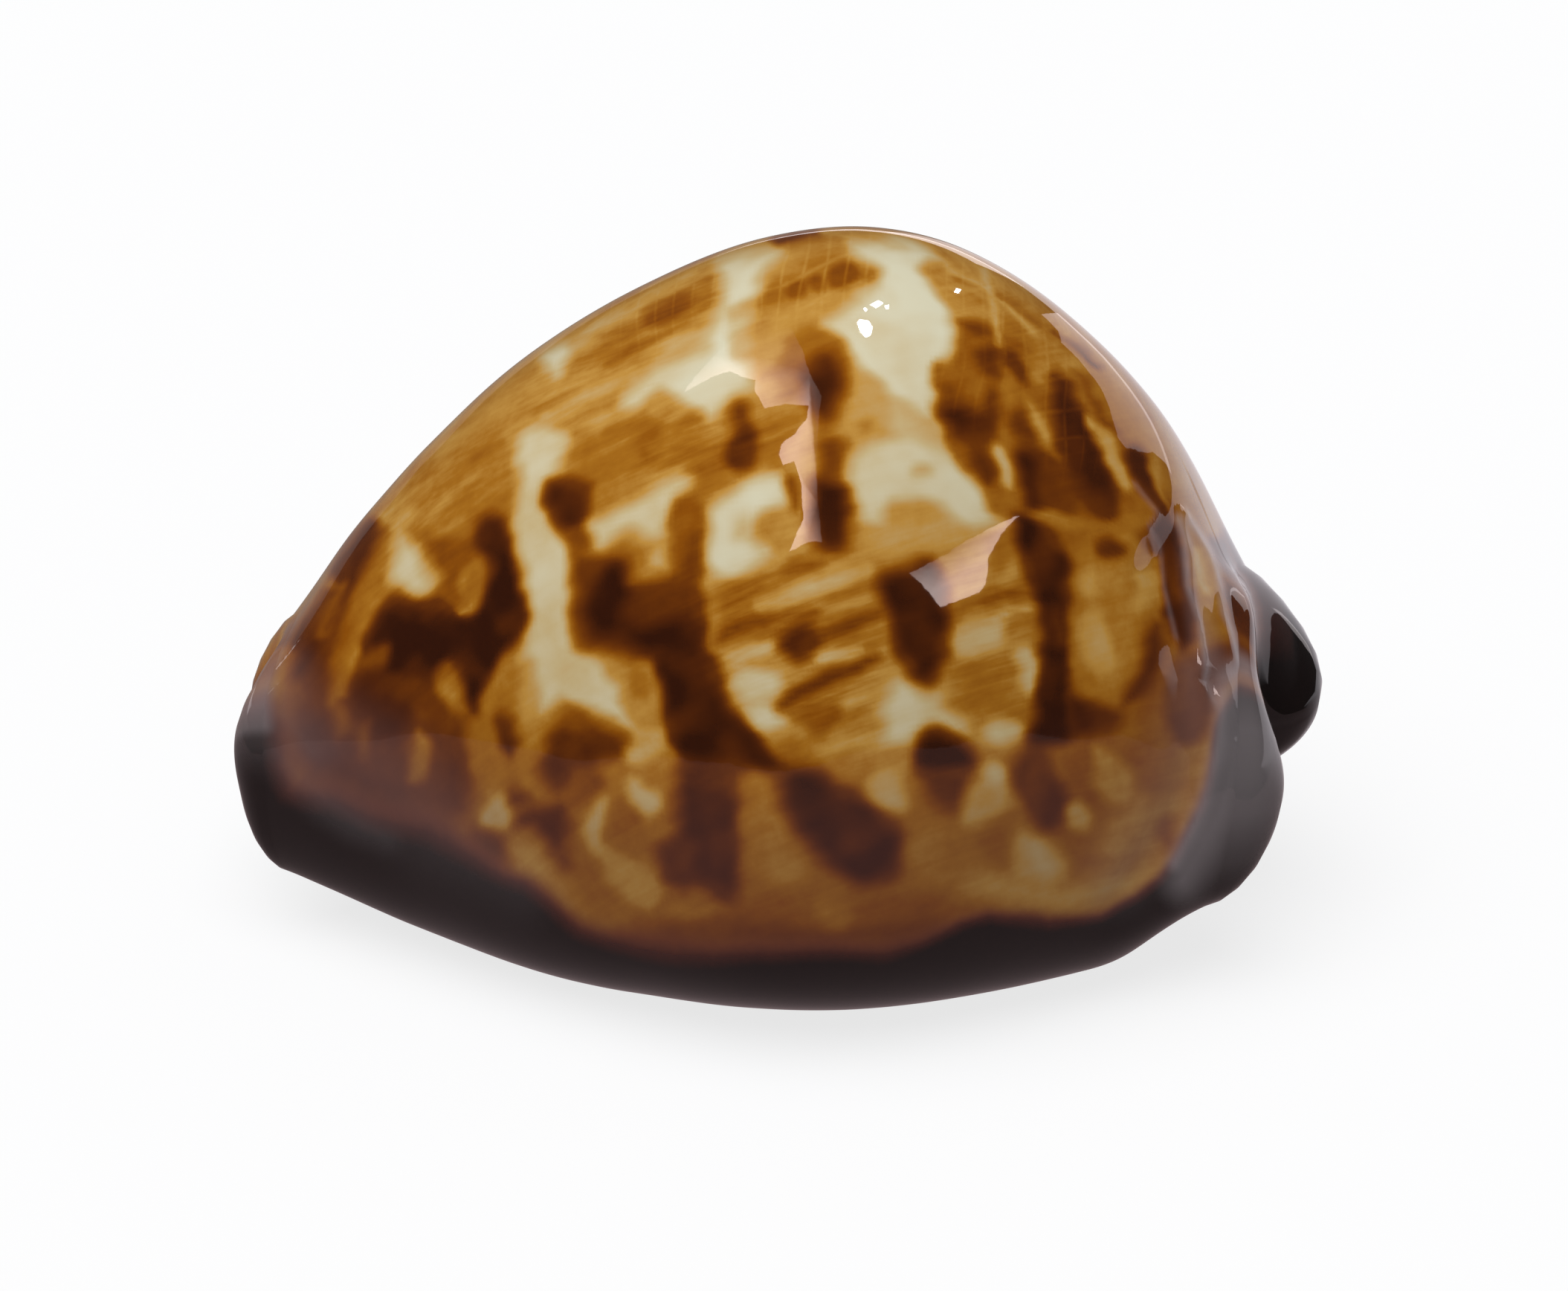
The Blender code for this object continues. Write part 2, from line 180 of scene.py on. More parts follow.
# Colours of 0 to 255: the pigment's by its depth, the dark margin's by how far a point lies in it, the
# inside's, the thin glaze's, which is partly painted shade, and the painted reflection's on the callus
PIGMENT_COLOURS = [
    (0.0, (204, 198, 171)), (0.2, (190, 168, 122)), (0.42, (182, 135, 60)), (0.55, (158, 102, 24)),
    (0.68, (134, 74, 5)), (0.8, (104, 50, 4)), (0.9, (78, 33, 4)), (1.0, (48, 17, 3)),
]
MARGIN_COLOURS = [(0.0, (140, 84, 44)), (0.35, (106, 54, 30)), (0.62, (60, 26, 18)), (0.9, (18, 10, 9))]
INSIDE_COLOUR = (176, 160, 168)
GLAZE_AND_SHADE_COLOUR = (74, 40, 36)
PAINTED_REFLECTION_COLOUR = (166, 156, 158)

# How far from the middle, along the shell, the pale inside turns dark towards both ends, and where the
# rim's values turn to those of the inside and its colour to the inside's, in shares of its turn
DARK_ENDS = (0.019, 0.0235)
RIM_BLEND = (0.3, 0.7)
PALE_RIM = (0.62, 1.0)

# The enamel is slightly uneven: how high its waves are and how long, with ripples too fine for the mesh
WAVE_HEIGHT = 0.00003
WAVE_LENGTH = 0.0045
WAVE_FADE = 12  # rows and columns from the border to the full height
RIPPLES = (420.0, 3.0, 0.5)  # scale, detail and roughness
RIPPLE_STRENGTH = 0.12
RIPPLE_HEIGHT = 0.00006
ROUGHNESS = (0.015, 0.04)
REFRACTION = 1.55
MILLIMETRES = 1000  # in a metre

# The angle, in degrees, at which the growth streaks rise towards the spire end, as (x, angle)
STREAK_RISE = [(-0.029, 46), (-0.018, 40), (-0.008, 27), (0.0, 21), (0.010, 17), (0.020, 14), (0.029, 12)]
STREAK_STEPS = 200

# The streaks, as (length and width in millimetres, depth of pigment), and their cloud's detail and roughness
BROAD_STREAKS = (6.0, 0.85, 0.36)
FINE_STREAKS = (3.5, 0.22, 0.06)
STREAK_CLOUD = (3.0, 0.55)
STREAK_FALL = 0.7  # the less, the longer they keep their depth towards cream and darkest brown
SPECKLE = (1800.0, 4.0, 0.6)  # scale, detail and roughness
SPECKLE_DEPTH = 0.05

# Where the dark margin starts: on the far side as (place, column share), and on the side that the
# photograph shows as an outline in its pixels
MARGIN_EDGE = [
    (0.0, 0.74), (0.03, 0.765), (0.058, 0.775), (0.096, 0.796), (0.154, 0.817), (0.268, 0.825),
    (0.394, 0.842), (0.539, 0.832), (0.686, 0.838), (0.83, 0.858), (0.90, 0.858), (0.948, 0.812),
    (0.969, 0.771), (0.985, 0.70), (1.0, 0.60),
]
MARGIN_FADE = 0.045  # how far it fades on the far side, in column shares
MARGIN_PAST = 0.012  # how far past its edge it is full
MARGIN_WAVE_SIZE = 0.004
MARGIN_WAVES = 0.012  # in column shares
MARGIN_WAVES_NEAR = 9  # in pixels
MARGIN_COVER = 0.55  # how far into the margin the back's colours are gone
MARGIN_OUTLINE = [
    (300, 950), (328, 952), (346, 985), (352, 1040), (372, 1083), (400, 1090), (440, 1100), (488, 1124),
    (565, 1139), (609, 1165), (668, 1195), (699, 1203), (725, 1225), (749, 1247), (772, 1264), (822, 1280),
    (861, 1291), (905, 1300), (964, 1302), (1020, 1296), (1108, 1298), (1196, 1295), (1243, 1279),
    (1273, 1263), (1300, 1248), (1332, 1240), (1373, 1243), (1411, 1249), (1450, 1240), (1483, 1232),
    (1510, 1218), (1530, 1208), (1560, 1183), (1586, 1147), (1606, 1111), (1618, 1088), (1627, 1058),
    (1636, 1020), (1640, 980), (1646, 960), (1668, 925), (1692, 892), (1706, 856), (1698, 822), (1682, 790),
    (1664, 752), (1648, 716), (1660, 690), (1720, 640), (1820, 900), (1800, 1420), (280, 1420),
]

# How far the near margin fades outwards, as (across, width) in pixels, and how far inwards
MARGIN_INWARDS = 16
MARGIN_SOFTNESS = [
    (300, 80), (600, 80), (700, 60), (900, 60), (1200, 50), (1300, 30), (1400, 40), (1480, 22), (1610, 22),
]

# Where the growth streaks show, as (strength, softness, blobs) in pixels, and their strength elsewhere
FAINT_STREAKS = 0.22
STREAKY_AREAS = [
    (1.0, 50, [(1000, 830, 60), (1120, 830, 60), (1180, 810, 40)]),
    (0.9, 50, [(740, 530, 50), (850, 450, 45), (940, 390, 30)]),
    (0.8, 40, [(900, 600, 60), (1050, 580, 30)]),
    (0.8, 40, [(1310, 760, 30), (1350, 830, 40), (1340, 920, 50)]),
    (0.9, 40, [(1080, 930, 40), (1160, 950, 40)]),
    (0.7, 40, [(540, 700, 50), (620, 640, 50)]),
    (0.5, 40, [(1330, 400, 40), (1400, 480, 40), (1450, 600, 40)]),
    (0.7, 40, [(600, 880, 40), (560, 780, 40)]),
]

# Pale lines that cross the streaks: their spacing along and across the streaks in millimetres, how much
# pigment they lack, where they start and are full, in spacings from the middle between two of them, and
# how far they sway, with the scale, detail and roughness of the cloud that sways them
LATTICE_SPACING = (1.05, 1.5)
LATTICE_DEPTH = 0.17
LATTICE_LINE = (0.36, 0.50)
LATTICE_SWAY = 2.2
SWAY_CLOUD = (0.16, 1.0, 0.5)

# Where those lines show, as (strength, softness, blobs) in pixels
LATTICE_AREAS = [
    (1.0, 30, [(1050, 385, 25), (1150, 355, 25)]),
    (0.42, 30, [(1290, 370, 30), (1390, 460, 40), (1440, 590, 30)]),
    (0.3, 30, [(1300, 520, 40)]),
    (0.5, 40, [(870, 420, 40), (950, 370, 20)]),
]

# The thin glaze that the margins' callus lays over the back's lower side, which is partly painted shade that
# darkens and dulls that side, as (strength, softness, points), its strength on the far side, and where it
# ends in the dark margin
FAR_GLAZE_AND_SHADE = 0.1
GLAZE_AND_SHADE_END = (0.35, 0.8)
GLAZED_AND_SHADED_AREAS = [
    (0.36, 60, [
        (300, 880), (420, 930), (560, 1010), (850, 1090), (1250, 1080), (1500, 1000), (1600, 860),
        (1700, 860), (1700, 1420), (300, 1420),
    ]),
    (0.55, 40, [(340, 960, 50), (420, 1020, 60), (500, 1060, 60), (600, 1110, 30)]),
    (0.35, 40, [(880, 1225, 40), (720, 1190, 20)]),
]

# Painted reflection on the callus: a grey veil over the flange and folds at the spire end and the front tip,
# and painted highlights along the ridges of the folds
PAINTED_REFLECTION_AREAS = [
    (0.06, 40, [(400, 960, 40), (500, 1040, 60), (600, 1120, 50), (700, 1190, 30)]),
    (0.10, 22, [
        (344, 950, 10), (359, 1000, 14), (400, 1041, 16), (441, 1075, 18), (480, 1104, 16), (520, 1125, 8),
    ]),
    (0.14, 30, [(352, 860, 12), (385, 900, 16), (380, 960, 20), (420, 1010, 16)]),
    (0.34, 10, [(384, 834, 5), (370, 858, 8), (362, 900, 8), (355, 940, 8), (356, 975, 7)]),
    (0.05, 16, [
        (1645, 880), (1700, 900), (1712, 980), (1740, 1040), (1735, 1110), (1690, 1160), (1600, 1215),
        (1570, 1212), (1626, 1095), (1641, 970),
    ]),
    (0.16, 24, [(1600, 900, 14), (1605, 950, 16), (1604, 1000, 12)]),
    (0.40, 24, [
        (1655, 920, 12), (1664, 980, 20), (1656, 1040, 22), (1642, 1090, 22), (1616, 1140, 20),
        (1590, 1185, 14),
    ]),
    (0.72, 12, [
        (1645, 930, 5), (1640, 1000, 6), (1630, 1040, 7), (1619, 1080, 7), (1602, 1120, 7), (1580, 1160, 5),
    ]),
    (0.18, 12, [(1592, 700, 6), (1600, 760, 7), (1606, 800, 8), (1620, 860, 14), (1636, 905, 14)]),
    (0.14, 12, [(1640, 700, 6), (1662, 712, 6), (1700, 780, 6)]),
    (0.60, 5, [
        (1584, 697, 3), (1593, 728, 3), (1598, 790, 2), (1613, 835, 2), (1624, 910, 3), (1640, 955, 2),
    ]),
    (0.60, 5, [
        (1599, 701, 3), (1626, 735, 3), (1636, 762, 2), (1645, 824, 2), (1657, 851, 2), (1665, 890, 2),
    ]),
    (0.60, 5, [
        (1636, 758, 3), (1665, 785, 3), (1703, 812, 2), (1710, 828, 2), (1701, 858, 2), (1697, 890, 2),
    ]),
    (0.24, 4, [
        (1526, 651, 1), (1558, 691, 1), (1545, 708, 1), (1559, 731, 1), (1565, 789, 1), (1582, 858, 1),
    ]),
    (0.50, 12, [(1650, 912, 8), (1672, 896, 10), (1692, 878, 8)]),
    (0.10, 40, [(1600, 960, 30), (1590, 1040, 40), (1560, 1110, 40), (1500, 1180, 30)]),
    (0.34, 10, [
        (1690, 800), (1735, 850), (1780, 885), (1790, 960), (1755, 1000), (1725, 1000), (1735, 930),
        (1712, 865),
    ]),
]

# What is mirrored in the gloss, as the outlines that it has in the photograph: (across, down, brightness)
SOFTBOX_IN_GLOSS = [
    (1154, 432), (1160, 428), (1170, 429), (1176, 438), (1172, 449), (1164, 453), (1158, 446),
]
LAMPS_IN_GLOSS = [
    [(1174, 409), (1184, 405), (1190, 408), (1182, 412)],
    [(1165, 414), (1168, 412), (1170, 416), (1167, 418)],
    [(1193, 411), (1198, 410), (1198, 414), (1194, 414)],
    [(1282, 394), (1286, 388), (1293, 390), (1288, 396)],
]
HIGH_WINDOW_IN_GLOSS = [
    (915, 530, 0.5), (940, 517, 0.5), (960, 508, 0.6), (985, 500, 0.8), (1004, 507, 0.8), (1020, 510, 0.7),
    (1018, 525, 0.8), (1028, 548, 0.7), (1058, 541, 0.5), (1090, 543, 0.8), (1088, 560, 1.0),
    (1070, 583, 1.0), (1050, 600, 1.0), (1045, 613, 1.0), (1050, 627, 1.0), (1068, 620, 1.0),
    (1078, 650, 1.2), (1080, 700, 1.2), (1060, 745, 1.0), (1085, 730, 0.7), (1104, 728, 0.2),
    (1103, 680, 0.0), (1101, 620, 0.0), (1103, 570, 0.1), (1106, 530, 0.1), (1090, 500, 0.2),
    (1078, 470, 0.1), (1062, 440, 0.0), (1040, 418, 0.0), (1000, 440, 0.0), (960, 478, 0.1),
    (930, 510, 0.3),
]
LOW_WINDOW_IN_GLOSS = [
    (1373, 695, 1.0), (1345, 705, 0.7), (1318, 718, 0.4), (1275, 742, 0.15), (1225, 768, 0.4),
    (1240, 780, 0.8), (1250, 795, 1.0), (1263, 820, 1.0), (1290, 808, 1.0), (1315, 798, 1.0),
    (1327, 785, 1.0), (1330, 750, 1.0), (1345, 730, 1.0), (1358, 715, 1.0),
]
WALL_IN_GLOSS = [
    (1399, 421), (1424, 447), (1430, 464), (1453, 485), (1476, 516), (1495, 562), (1503, 589), (1513, 601),
    (1549, 607), (1568, 624),
]
SOFTBOX_GLOW = (60.0, 60.0, 62.0)
LAMP_GLOW = (40.0, 40.0, 42.0)
WINDOW_GLOW = (7.0, 5.7, 5.4)
WALL_GLOW = (1.05, 0.96, 0.97)
WALL_FACING = (0.6, 0.75, 0.0)
WALL_CORNERS = [(0.1, -1.0), (0.86, -1.0), (0.86, -0.6)]  # sideways and up, in card distances
LEFT_WALL_IN_GLOSS = [
    (700, 492), (655, 530), (580, 603), (522, 668), (476, 735), (430, 806), (388, 880), (368, 926),
]
LEFT_WALL_GLOW = (1.35, 1.25, 1.28)
LEFT_WALL_FACING = (-0.6, 0.8, 0.0)
LEFT_WALL_CORNERS = [(0.2, -1.0), (-1.2, -1.0), (-1.2, 0.2)]
CARD_DISTANCE = 0.9
TURNED_TO_EYE = -0.02  # how a ray of the eye and the facing of a point that it may meet go together, at most
NEIGHBOURS = 6  # points of the mesh that an outline's corner is placed between
NEIGHBOUR_EASE = 0.3  # in pixels
OUT_OF_REACH = 1e4

# The floor, and what the gloss shows of it: a pale sheet round the shell, paler behind it
FLOOR_REACH = 30.0
FLOOR_COLOUR = (0.62, 0.62, 0.63)
FLOOR_IN_GLOSS = (0.24, 0.18, 0.185)
FLOOR_BEHIND_IN_GLOSS = (0.23, 0.20, 0.195)
FLOOR_BEHIND_RIGHT_IN_GLOSS = (0.82, 0.77, 0.82)
BEHIND_RIGHT = (0.008, 0.020)  # where it starts and is full, as x
SHEET_LEFT, SHEET_RIGHT, SHEET_FRONT = -0.088, 0.098, -0.17
SIDE_FADE, FRONT_FADE = 0.004, 0.006
BEHIND = (0.0, 0.05)  # where it starts and is full, as y
FLOOR_GLOW = 0.72  # how much of the floor's own paleness hides its shadows
FLOOR_PALENESS = 1.08
FLOOR_LEVEL = -0.00002

# The light: a broad high lamp and the room round it, and the room as the gloss shows it
LAMP_POWER = 3.1
LAMP_WIDTH = math.radians(62)
LAMP_TILT = (math.radians(16), math.radians(-10), 0)
ROOM_COLOUR = (0.95, 0.97, 1.0)
ROOM_GLOW = 0.28
ROOM_IN_GLOSS = 0.05

# The pigment where there is no mark, how much softer marks are than they say, as (depth, factor), and how
# often their outlines' corners are cut off
PLAIN_TONE = 0.48
MARK_SOFTNESS = [(0.0, 1.4), (0.7, 1.4), (0.95, 2.1)]
CORNER_CUTS = 2

# The marks are smeared along the growth and ragged, by so many pixels, and the pigment is mottled, as
# (depth, size, seed), more where there is little of it, as (pigment, factor)
SMEAR, SMEAR_SIZE, SMEAR_STRETCH = 8, 0.0009, 0.22
RAGGEDNESS, RAGGED_SIZE = 5, 0.0016
MOTTLE = [(0.07, 0.0028, 41.0), (0.035, 0.0010, 43.0)]
MOTTLE_BY_PIGMENT = [(0.0, 1.2), (1.0, 0.7)]

# How much less pigment the dark marks hold in spots, their size, the pigment from which they show and the
# part of the noise that makes them
THINNER_SPOTS = 0.12
THIN_SPOT_SIZE = 0.0022
THIN_SPOT_PIGMENT = (0.8, 1.0)
THIN_SPOT_NOISE = (-0.2, 0.6)

# Seeds of the noise, and of the far side's marks
SMEAR_SEED, RAGGED_SEEDS, THIN_SPOT_SEED = 3.0, (11.0, 23.0), 47.0
WAVE_SEED, MARGIN_SEED, FAR_MARK_SEED = 5.0, 31.0, 7

# How far a point has to face the eye to take the near side's marks
NEAR_SIDE = (-0.06, 0.04)

# Marks on the back, painted in this order, each as (depth of pigment, softness of its edge, points), in
# pixels of the photograph. Depth 0 is cream and 1 darkest brown. Points of two numbers are an outline,
# and points of three are a chain of blobs with their radius.
BROAD_MARKS = [
    (0.66, 50, [
        (1330, 420), (1450, 470), (1560, 620), (1600, 760), (1610, 960), (1560, 1130), (1440, 1240),
        (1250, 1280), (1000, 1280), (840, 1260), (420, 1060), (380, 940), (520, 900), (700, 1070),
        (900, 1150), (1100, 1130), (1300, 1080), (1400, 960), (1340, 600),
    ]),
    (0.60, 40, [
        (1030, 990), (1340, 1080), (1450, 1080), (1450, 1200), (1000, 1240), (700, 1180), (700, 1040),
        (880, 1050),
    ]),
]
FRONT_SLOPE_MARKS = [
    (0.50, 20, [
        (560, 650), (700, 545), (770, 500), (800, 560), (760, 600), (700, 640), (690, 700), (560, 700),
    ]),
    (0.62, 9, [(600, 655, 7), (640, 612, 9), (668, 596, 6)]),
    (0.42, 12, [(700, 600, 10), (770, 560, 14), (840, 560, 10)]),
    (0.38, 9, [(735, 560, 5), (850, 508, 7)]),
    (0.08, 11, [(722, 478), (764, 458), (766, 478), (748, 508), (741, 498)]),
    (0.40, 8, [(770, 460, 5), (850, 415, 6), (930, 375, 5)]),
    (0.57, 9, [
        (762, 500), (790, 468), (858, 440), (862, 424), (882, 408), (962, 368), (968, 378), (880, 448),
        (780, 496),
    ]),
    (0.72, 8, [(862, 434), (867, 420), (905, 394), (925, 390), (936, 395), (905, 440), (892, 444)]),
    (0.60, 6, [(890, 446), (950, 404), (958, 408), (940, 424), (897, 451)]),
    (0.60, 6, [(820, 490, 5), (850, 470, 5), (885, 448, 4)]),
    (0.38, 9, [(940, 440), (962, 444), (950, 466), (920, 484), (882, 488), (872, 474)]),
    (0.05, 13, [
        (962, 356), (985, 345), (1050, 333), (1046, 347), (1025, 361), (1014, 404), (1000, 414),
        (1012, 424), (1006, 440), (990, 450), (985, 470), (1016, 495), (1017, 520), (982, 540), (955, 572),
        (944, 556), (888, 527), (872, 531), (858, 549), (842, 550), (838, 536), (870, 500), (890, 489),
        (945, 477), (957, 464), (957, 440), (975, 400),
    ]),
    (0.34, 9, [(986, 425, 9), (1010, 418, 9)]),
    (0.34, 12, [(1003, 465, 17)]),
    (0.54, 12, [
        (762, 642), (773, 602), (815, 570), (850, 560), (885, 534), (926, 546), (958, 574), (970, 567),
        (982, 625), (995, 636), (1012, 640), (940, 672), (922, 678), (928, 648), (895, 633), (866, 661),
        (830, 680), (800, 684), (795, 646),
    ]),
    (0.42, 8, [(880, 552, 8), (888, 542, 7)]),
    (0.66, 9, [(850, 588), (858, 571), (880, 562), (893, 574), (873, 622), (862, 618)]),
    (0.60, 10, [(930, 602), (960, 590), (974, 605), (984, 630), (968, 652), (942, 654), (925, 627)]),
    (0.60, 5, [(905, 600, 3), (950, 582, 3), (972, 572, 3)]),
    (0.58, 10, [(1018, 545), (1085, 545), (1075, 570), (1060, 600), (1060, 640), (1022, 640)]),
    (0.80, 9, [
        (984, 548), (1000, 541), (1013, 550), (1019, 610), (1011, 629), (995, 637), (980, 625), (974, 605),
    ]),
    (0.96, 9, [(980, 602), (990, 585), (1010, 585), (1018, 605), (1009, 627), (993, 630), (982, 618)]),
    (0.14, 11, [
        (1004, 652), (1020, 642), (1045, 640), (1056, 650), (1058, 672), (1040, 682), (1015, 680),
        (998, 668),
    ]),
]
FRONT_MARKS = [
    (0.54, 20, [(520, 690), (600, 640), (690, 640), (690, 700), (640, 730), (560, 740)]),
    (0.82, 16, [
        (520, 800), (640, 800), (640, 960), (620, 1120), (480, 1120), (390, 1040), (380, 940), (440, 860),
    ]),
    (0.90, 9, [
        (500, 705), (522, 708), (508, 745), (432, 890), (410, 914), (388, 918), (386, 895), (400, 865),
        (480, 735),
    ]),
    (0.70, 7, [(455, 780), (468, 776), (445, 850), (432, 862), (422, 852)]),
    (0.62, 9, [
        (524, 740), (514, 765), (520, 790), (466, 900), (460, 940), (450, 962), (440, 940), (455, 860),
        (502, 770),
    ]),
    (0.52, 6, [(507, 812, 6), (486, 848, 6), (474, 885, 6), (462, 930, 6)]),
    (0.40, 9, [(552, 690, 9), (538, 712, 8)]),
    (0.92, 7, [(398, 862, 8), (416, 834, 8), (440, 796, 6)]),
    (0.95, 8, [(350, 900, 12), (366, 868, 12), (384, 836, 8)]),
    (0.96, 7, [(456, 768, 8), (480, 728, 7), (500, 704, 6)]),
    (0.80, 8, [(440, 842, 7), (452, 818, 6)]),
    (0.14, 13, [(543, 722), (552, 728), (583, 782), (568, 800), (522, 776), (520, 762)]),
    (0.72, 9, [
        (565, 727), (580, 718), (600, 725), (620, 720), (636, 735), (633, 755), (622, 765), (618, 790),
        (633, 800), (610, 816), (592, 806), (600, 775), (572, 747),
    ]),
    (0.94, 8, [
        (640, 700), (655, 690), (672, 693), (686, 707), (694, 732), (692, 757), (680, 766), (650, 757),
        (629, 731),
    ]),
    (1.00, 8, [
        (655, 772), (670, 745), (686, 748), (714, 812), (711, 842), (654, 920), (640, 962), (625, 945),
        (610, 886), (592, 895), (562, 926), (545, 930), (519, 905), (516, 890), (524, 872), (514, 866),
        (492, 872), (488, 860), (520, 813), (536, 804), (555, 804), (570, 812), (590, 808), (618, 828),
        (640, 821),
    ]),
    (0.60, 6, [
        (640, 762), (655, 766), (650, 812), (636, 823), (617, 826), (616, 815), (629, 805), (622, 788),
    ]),
    (0.50, 4, [(640, 806, 3), (634, 817, 3), (620, 822, 3)]),
    (0.74, 7, [(500, 874), (520, 870), (524, 886), (514, 902), (497, 905), (482, 900), (486, 886)]),
    (0.94, 9, [
        (472, 908), (520, 904), (576, 942), (560, 952), (545, 985), (528, 1002), (505, 992), (468, 940),
    ]),
    (0.60, 8, [(590, 893), (605, 888), (634, 957), (614, 958), (594, 946), (586, 926)]),
    (0.50, 7, [(600, 928, 9), (606, 940, 8)]),
    (0.80, 4, [(821, 852, 1), (880, 822, 1), (937, 783, 1)]),
    (0.80, 4, [(833, 856, 1), (921, 814, 1), (941, 775, 1)]),
    (0.55, 9, [
        (680, 882), (700, 878), (712, 900), (701, 952), (690, 967), (670, 962), (656, 946), (654, 926),
    ]),
    (0.92, 9, [(660, 962), (680, 958), (694, 975), (697, 1002), (690, 1022), (675, 1022)]),
    (0.66, 9, [(480, 975), (492, 970), (500, 1000), (494, 1040), (480, 1040), (474, 1005)]),
    (0.66, 9, [(446, 960), (466, 955), (470, 985), (455, 1000), (440, 990)]),
    (0.54, 8, [(558, 978), (574, 985), (583, 1005), (566, 1056), (550, 1054), (548, 1030)]),
    (0.88, 12, [(590, 985), (615, 985), (630, 1060), (620, 1090), (600, 1080), (590, 1040)]),
    (0.90, 12, [(420, 985, 20), (450, 1020, 22), (490, 1060, 22), (530, 1080, 24)]),
    (0.64, 9, [(628, 962), (660, 965), (668, 1000), (660, 1030), (640, 1030), (628, 1000)]),
    (0.60, 9, [(632, 1020), (660, 1010), (684, 1018), (680, 1045), (665, 1064), (648, 1064)]),
    (0.30, 10, [
        (655, 1072), (672, 1067), (687, 1077), (693, 1095), (686, 1111), (668, 1119), (650, 1113),
        (641, 1100),
    ]),
    (0.92, 12, [(636, 1120), (660, 1122), (677, 1135), (680, 1155), (665, 1168), (636, 1168)]),
]
